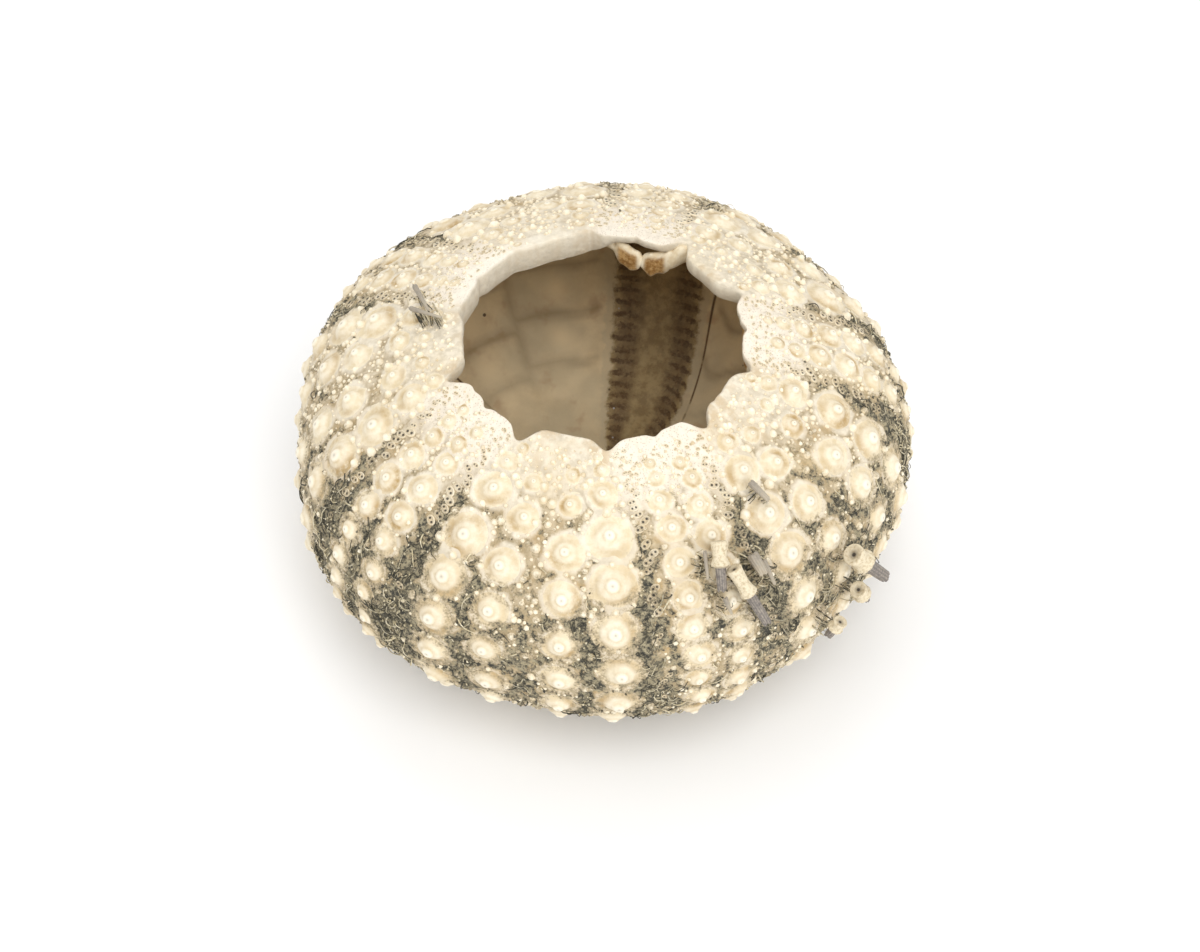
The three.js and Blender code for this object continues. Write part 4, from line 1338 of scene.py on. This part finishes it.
def build_spines():
    cream, socket = {"tan": 0.2}, {"tan": 0.55}
    grey, torn = {"shaft": 1.0}, {"shaft": 1.0, "ragged": 0.12}
    for name, start, end, collar, collar_at, shaft in SPINES:
        span = np.linalg.norm(outside_point(*np.array(end, float)) - outside_point(*np.array(start, float)))
        base, at, after = 0.85 * collar, collar_at / span, collar / span
        turned_rod(name, start, end, (
            # The dark middles of the cup at the foot and of the broken end are painted shade.
            (0.2 * after, 0.15 * base, 0, {"pit": 1.0}),
            (0.19 * after, 0.27 * base, 0, {"pit": 0.4, "tan": 0.7}),
            (0.1 * after, 0.55 * base, 0, socket),
            (0.01 * after, 0.8 * base, 0, socket),
            (0.0, 0.9 * base, 0, {"tan": 0.3}),
            (0.12 * after, base, 0, cream),
            (0.35 * after, 0.97 * base, 0, cream),
            (lerp(0.35 * after, at, 0.3), 0.9 * base, 0.01, cream),
            (lerp(0.35 * after, at, 0.6), 0.72 * collar, 0.02, cream),
            (lerp(0.35 * after, at, 0.85), 0.85 * collar, 0.04, cream),
            (at, 0.99 * collar, 0.06, cream),
            (at + 0.12 * after, 0.97 * collar, 0.07, cream),
            (at + 0.24 * after, 0.8 * collar, 0.06, {"tan": 0.4}),
            (at + 0.34 * after, 1.15 * shaft, 0.08, {"tan": 0.6, "shaft": 0.5}),
            (at + 0.45 * after, shaft, 0.14, grey),
            (lerp(at + 0.45 * after, 1, 0.5), 0.97 * shaft, 0.16, grey),
            (0.96, 0.9 * shaft, 0.16, torn),
            (0.985, 0.7 * shaft, 0.1, torn),
            (0.95, 0.3 * shaft, 0, {"shaft": 1.0, "pit": 0.5}),
        ))
    for name, start, end, thick, thin in SPLINTERS:
        first, last = {"shaft": 0.8, "ragged": 0.1}, {"shaft": 0.6, "ragged": 0.1}
        turned_rod(name, start, end, (
            (0.0, 0.55 * thick, 0, first),
            (0.06, 0.95 * thick, 0.16, first),
            (0.3, lerp(thick, thin, 0.3), 0.2, {"shaft": 0.8}),
            (0.6, lerp(thick, thin, 0.6), 0.2, {"shaft": 0.7}),
            (0.93, lerp(thick, thin, 0.93), 0.16, last),
            (1.0, 0.5 * thin, 0, last),
        ))


# ---- Floor, light and camera ----

CAMERA_DISTANCE, CAMERA_ELEVATION, CAMERA_ROLL = 195, 51.0, 0.5
CAMERA_TARGET_Z, LENS, SENSOR_WIDTH = 10.33, 81.0, 36
# How far the view is shifted down, as a share of the picture's width.
SHIFT_DOWN = 0.018333333
FLOOR_REACH, WORLD_STRENGTH = 1.5, 0.72
# Place and width in metres, and power. They all point at LIGHTS_AIM.
LIGHTS_AIM = Vector((0, 0, 0.01))
LIGHTS = {
    "key": ((0.06, -0.2, 0.42), 0.26, 0.7),
    "low": ((0.26, -0.38, 0.18), 0.3, 0.6),
    "fill": ((-0.32, -0.12, 0.34), 0.4, 0.25),
    "back": ((-0.05, 0.3, 0.45), 0.4, 0.46),
}


def build_stage():
    floor_paint = Paint("floor", Roughness=0.95, Specular_IOR_Level=0.05, Base_Color=(0.96, 0.96, 0.96, 1))
    mesh = bpy.data.meshes.new("floor")
    corners = [(x * FLOOR_REACH, y * FLOOR_REACH, 0) for x, y in ((-1, -1), (1, -1), (1, 1), (-1, 1))]
    mesh.from_pydata(corners, [], [(0, 1, 2, 3)])
    mesh.materials.append(floor_paint.material)
    floor = add_object("floor", mesh)
    for name, (place, size, power) in LIGHTS.items():
        light = bpy.data.lights.new(name, "AREA")
        light.shape, light.size, light.energy = "DISK", size, power
        lamp = add_object(name, light)
        lamp.location = place
        lamp.rotation_euler = (LIGHTS_AIM - Vector(place)).to_track_quat("-Z", "Y").to_euler()
    world = bpy.data.worlds.new("studio")
    world.use_nodes = True
    background = world.node_tree.nodes["Background"]
    background.inputs["Color"].default_value = (1, 1, 1, 1)
    background.inputs["Strength"].default_value = WORLD_STRENGTH
    bpy.context.scene.world = world
    bpy.context.scene.view_settings.view_transform = "Standard"


def build_camera():
    camera = bpy.data.cameras.new("camera")
    camera.lens, camera.sensor_width, camera.shift_y = LENS, SENSOR_WIDTH, -SHIFT_DOWN
    camera.clip_start, camera.clip_end = 0.01, 10
    view = add_object("camera", camera)
    tilt = math.radians(CAMERA_ELEVATION)
    target = Vector((0, 0, CAMERA_TARGET_Z * MM))
    view.location = target + Vector((0, -math.cos(tilt), math.sin(tilt))) * CAMERA_DISTANCE * MM
    turn = (target - view.location).to_track_quat("-Z", "Y").to_matrix()
    view.rotation_euler = (turn @ Matrix.Rotation(math.radians(CAMERA_ROLL), 3, "Z")).to_euler()
    bpy.context.scene.camera = view


build_stage()
build_camera()
build_skin()
build_inside()
build_arches()
build_tubercles()
bead_spots = lay_out_secondaries()
pore_spots = lay_out_pores()
build_beads(bead_spots)
build_granules(lay_out_granules(bead_spots, pore_spots[:, :3]))
build_pores(pore_spots)
build_fibres()
build_grit()
build_spines()
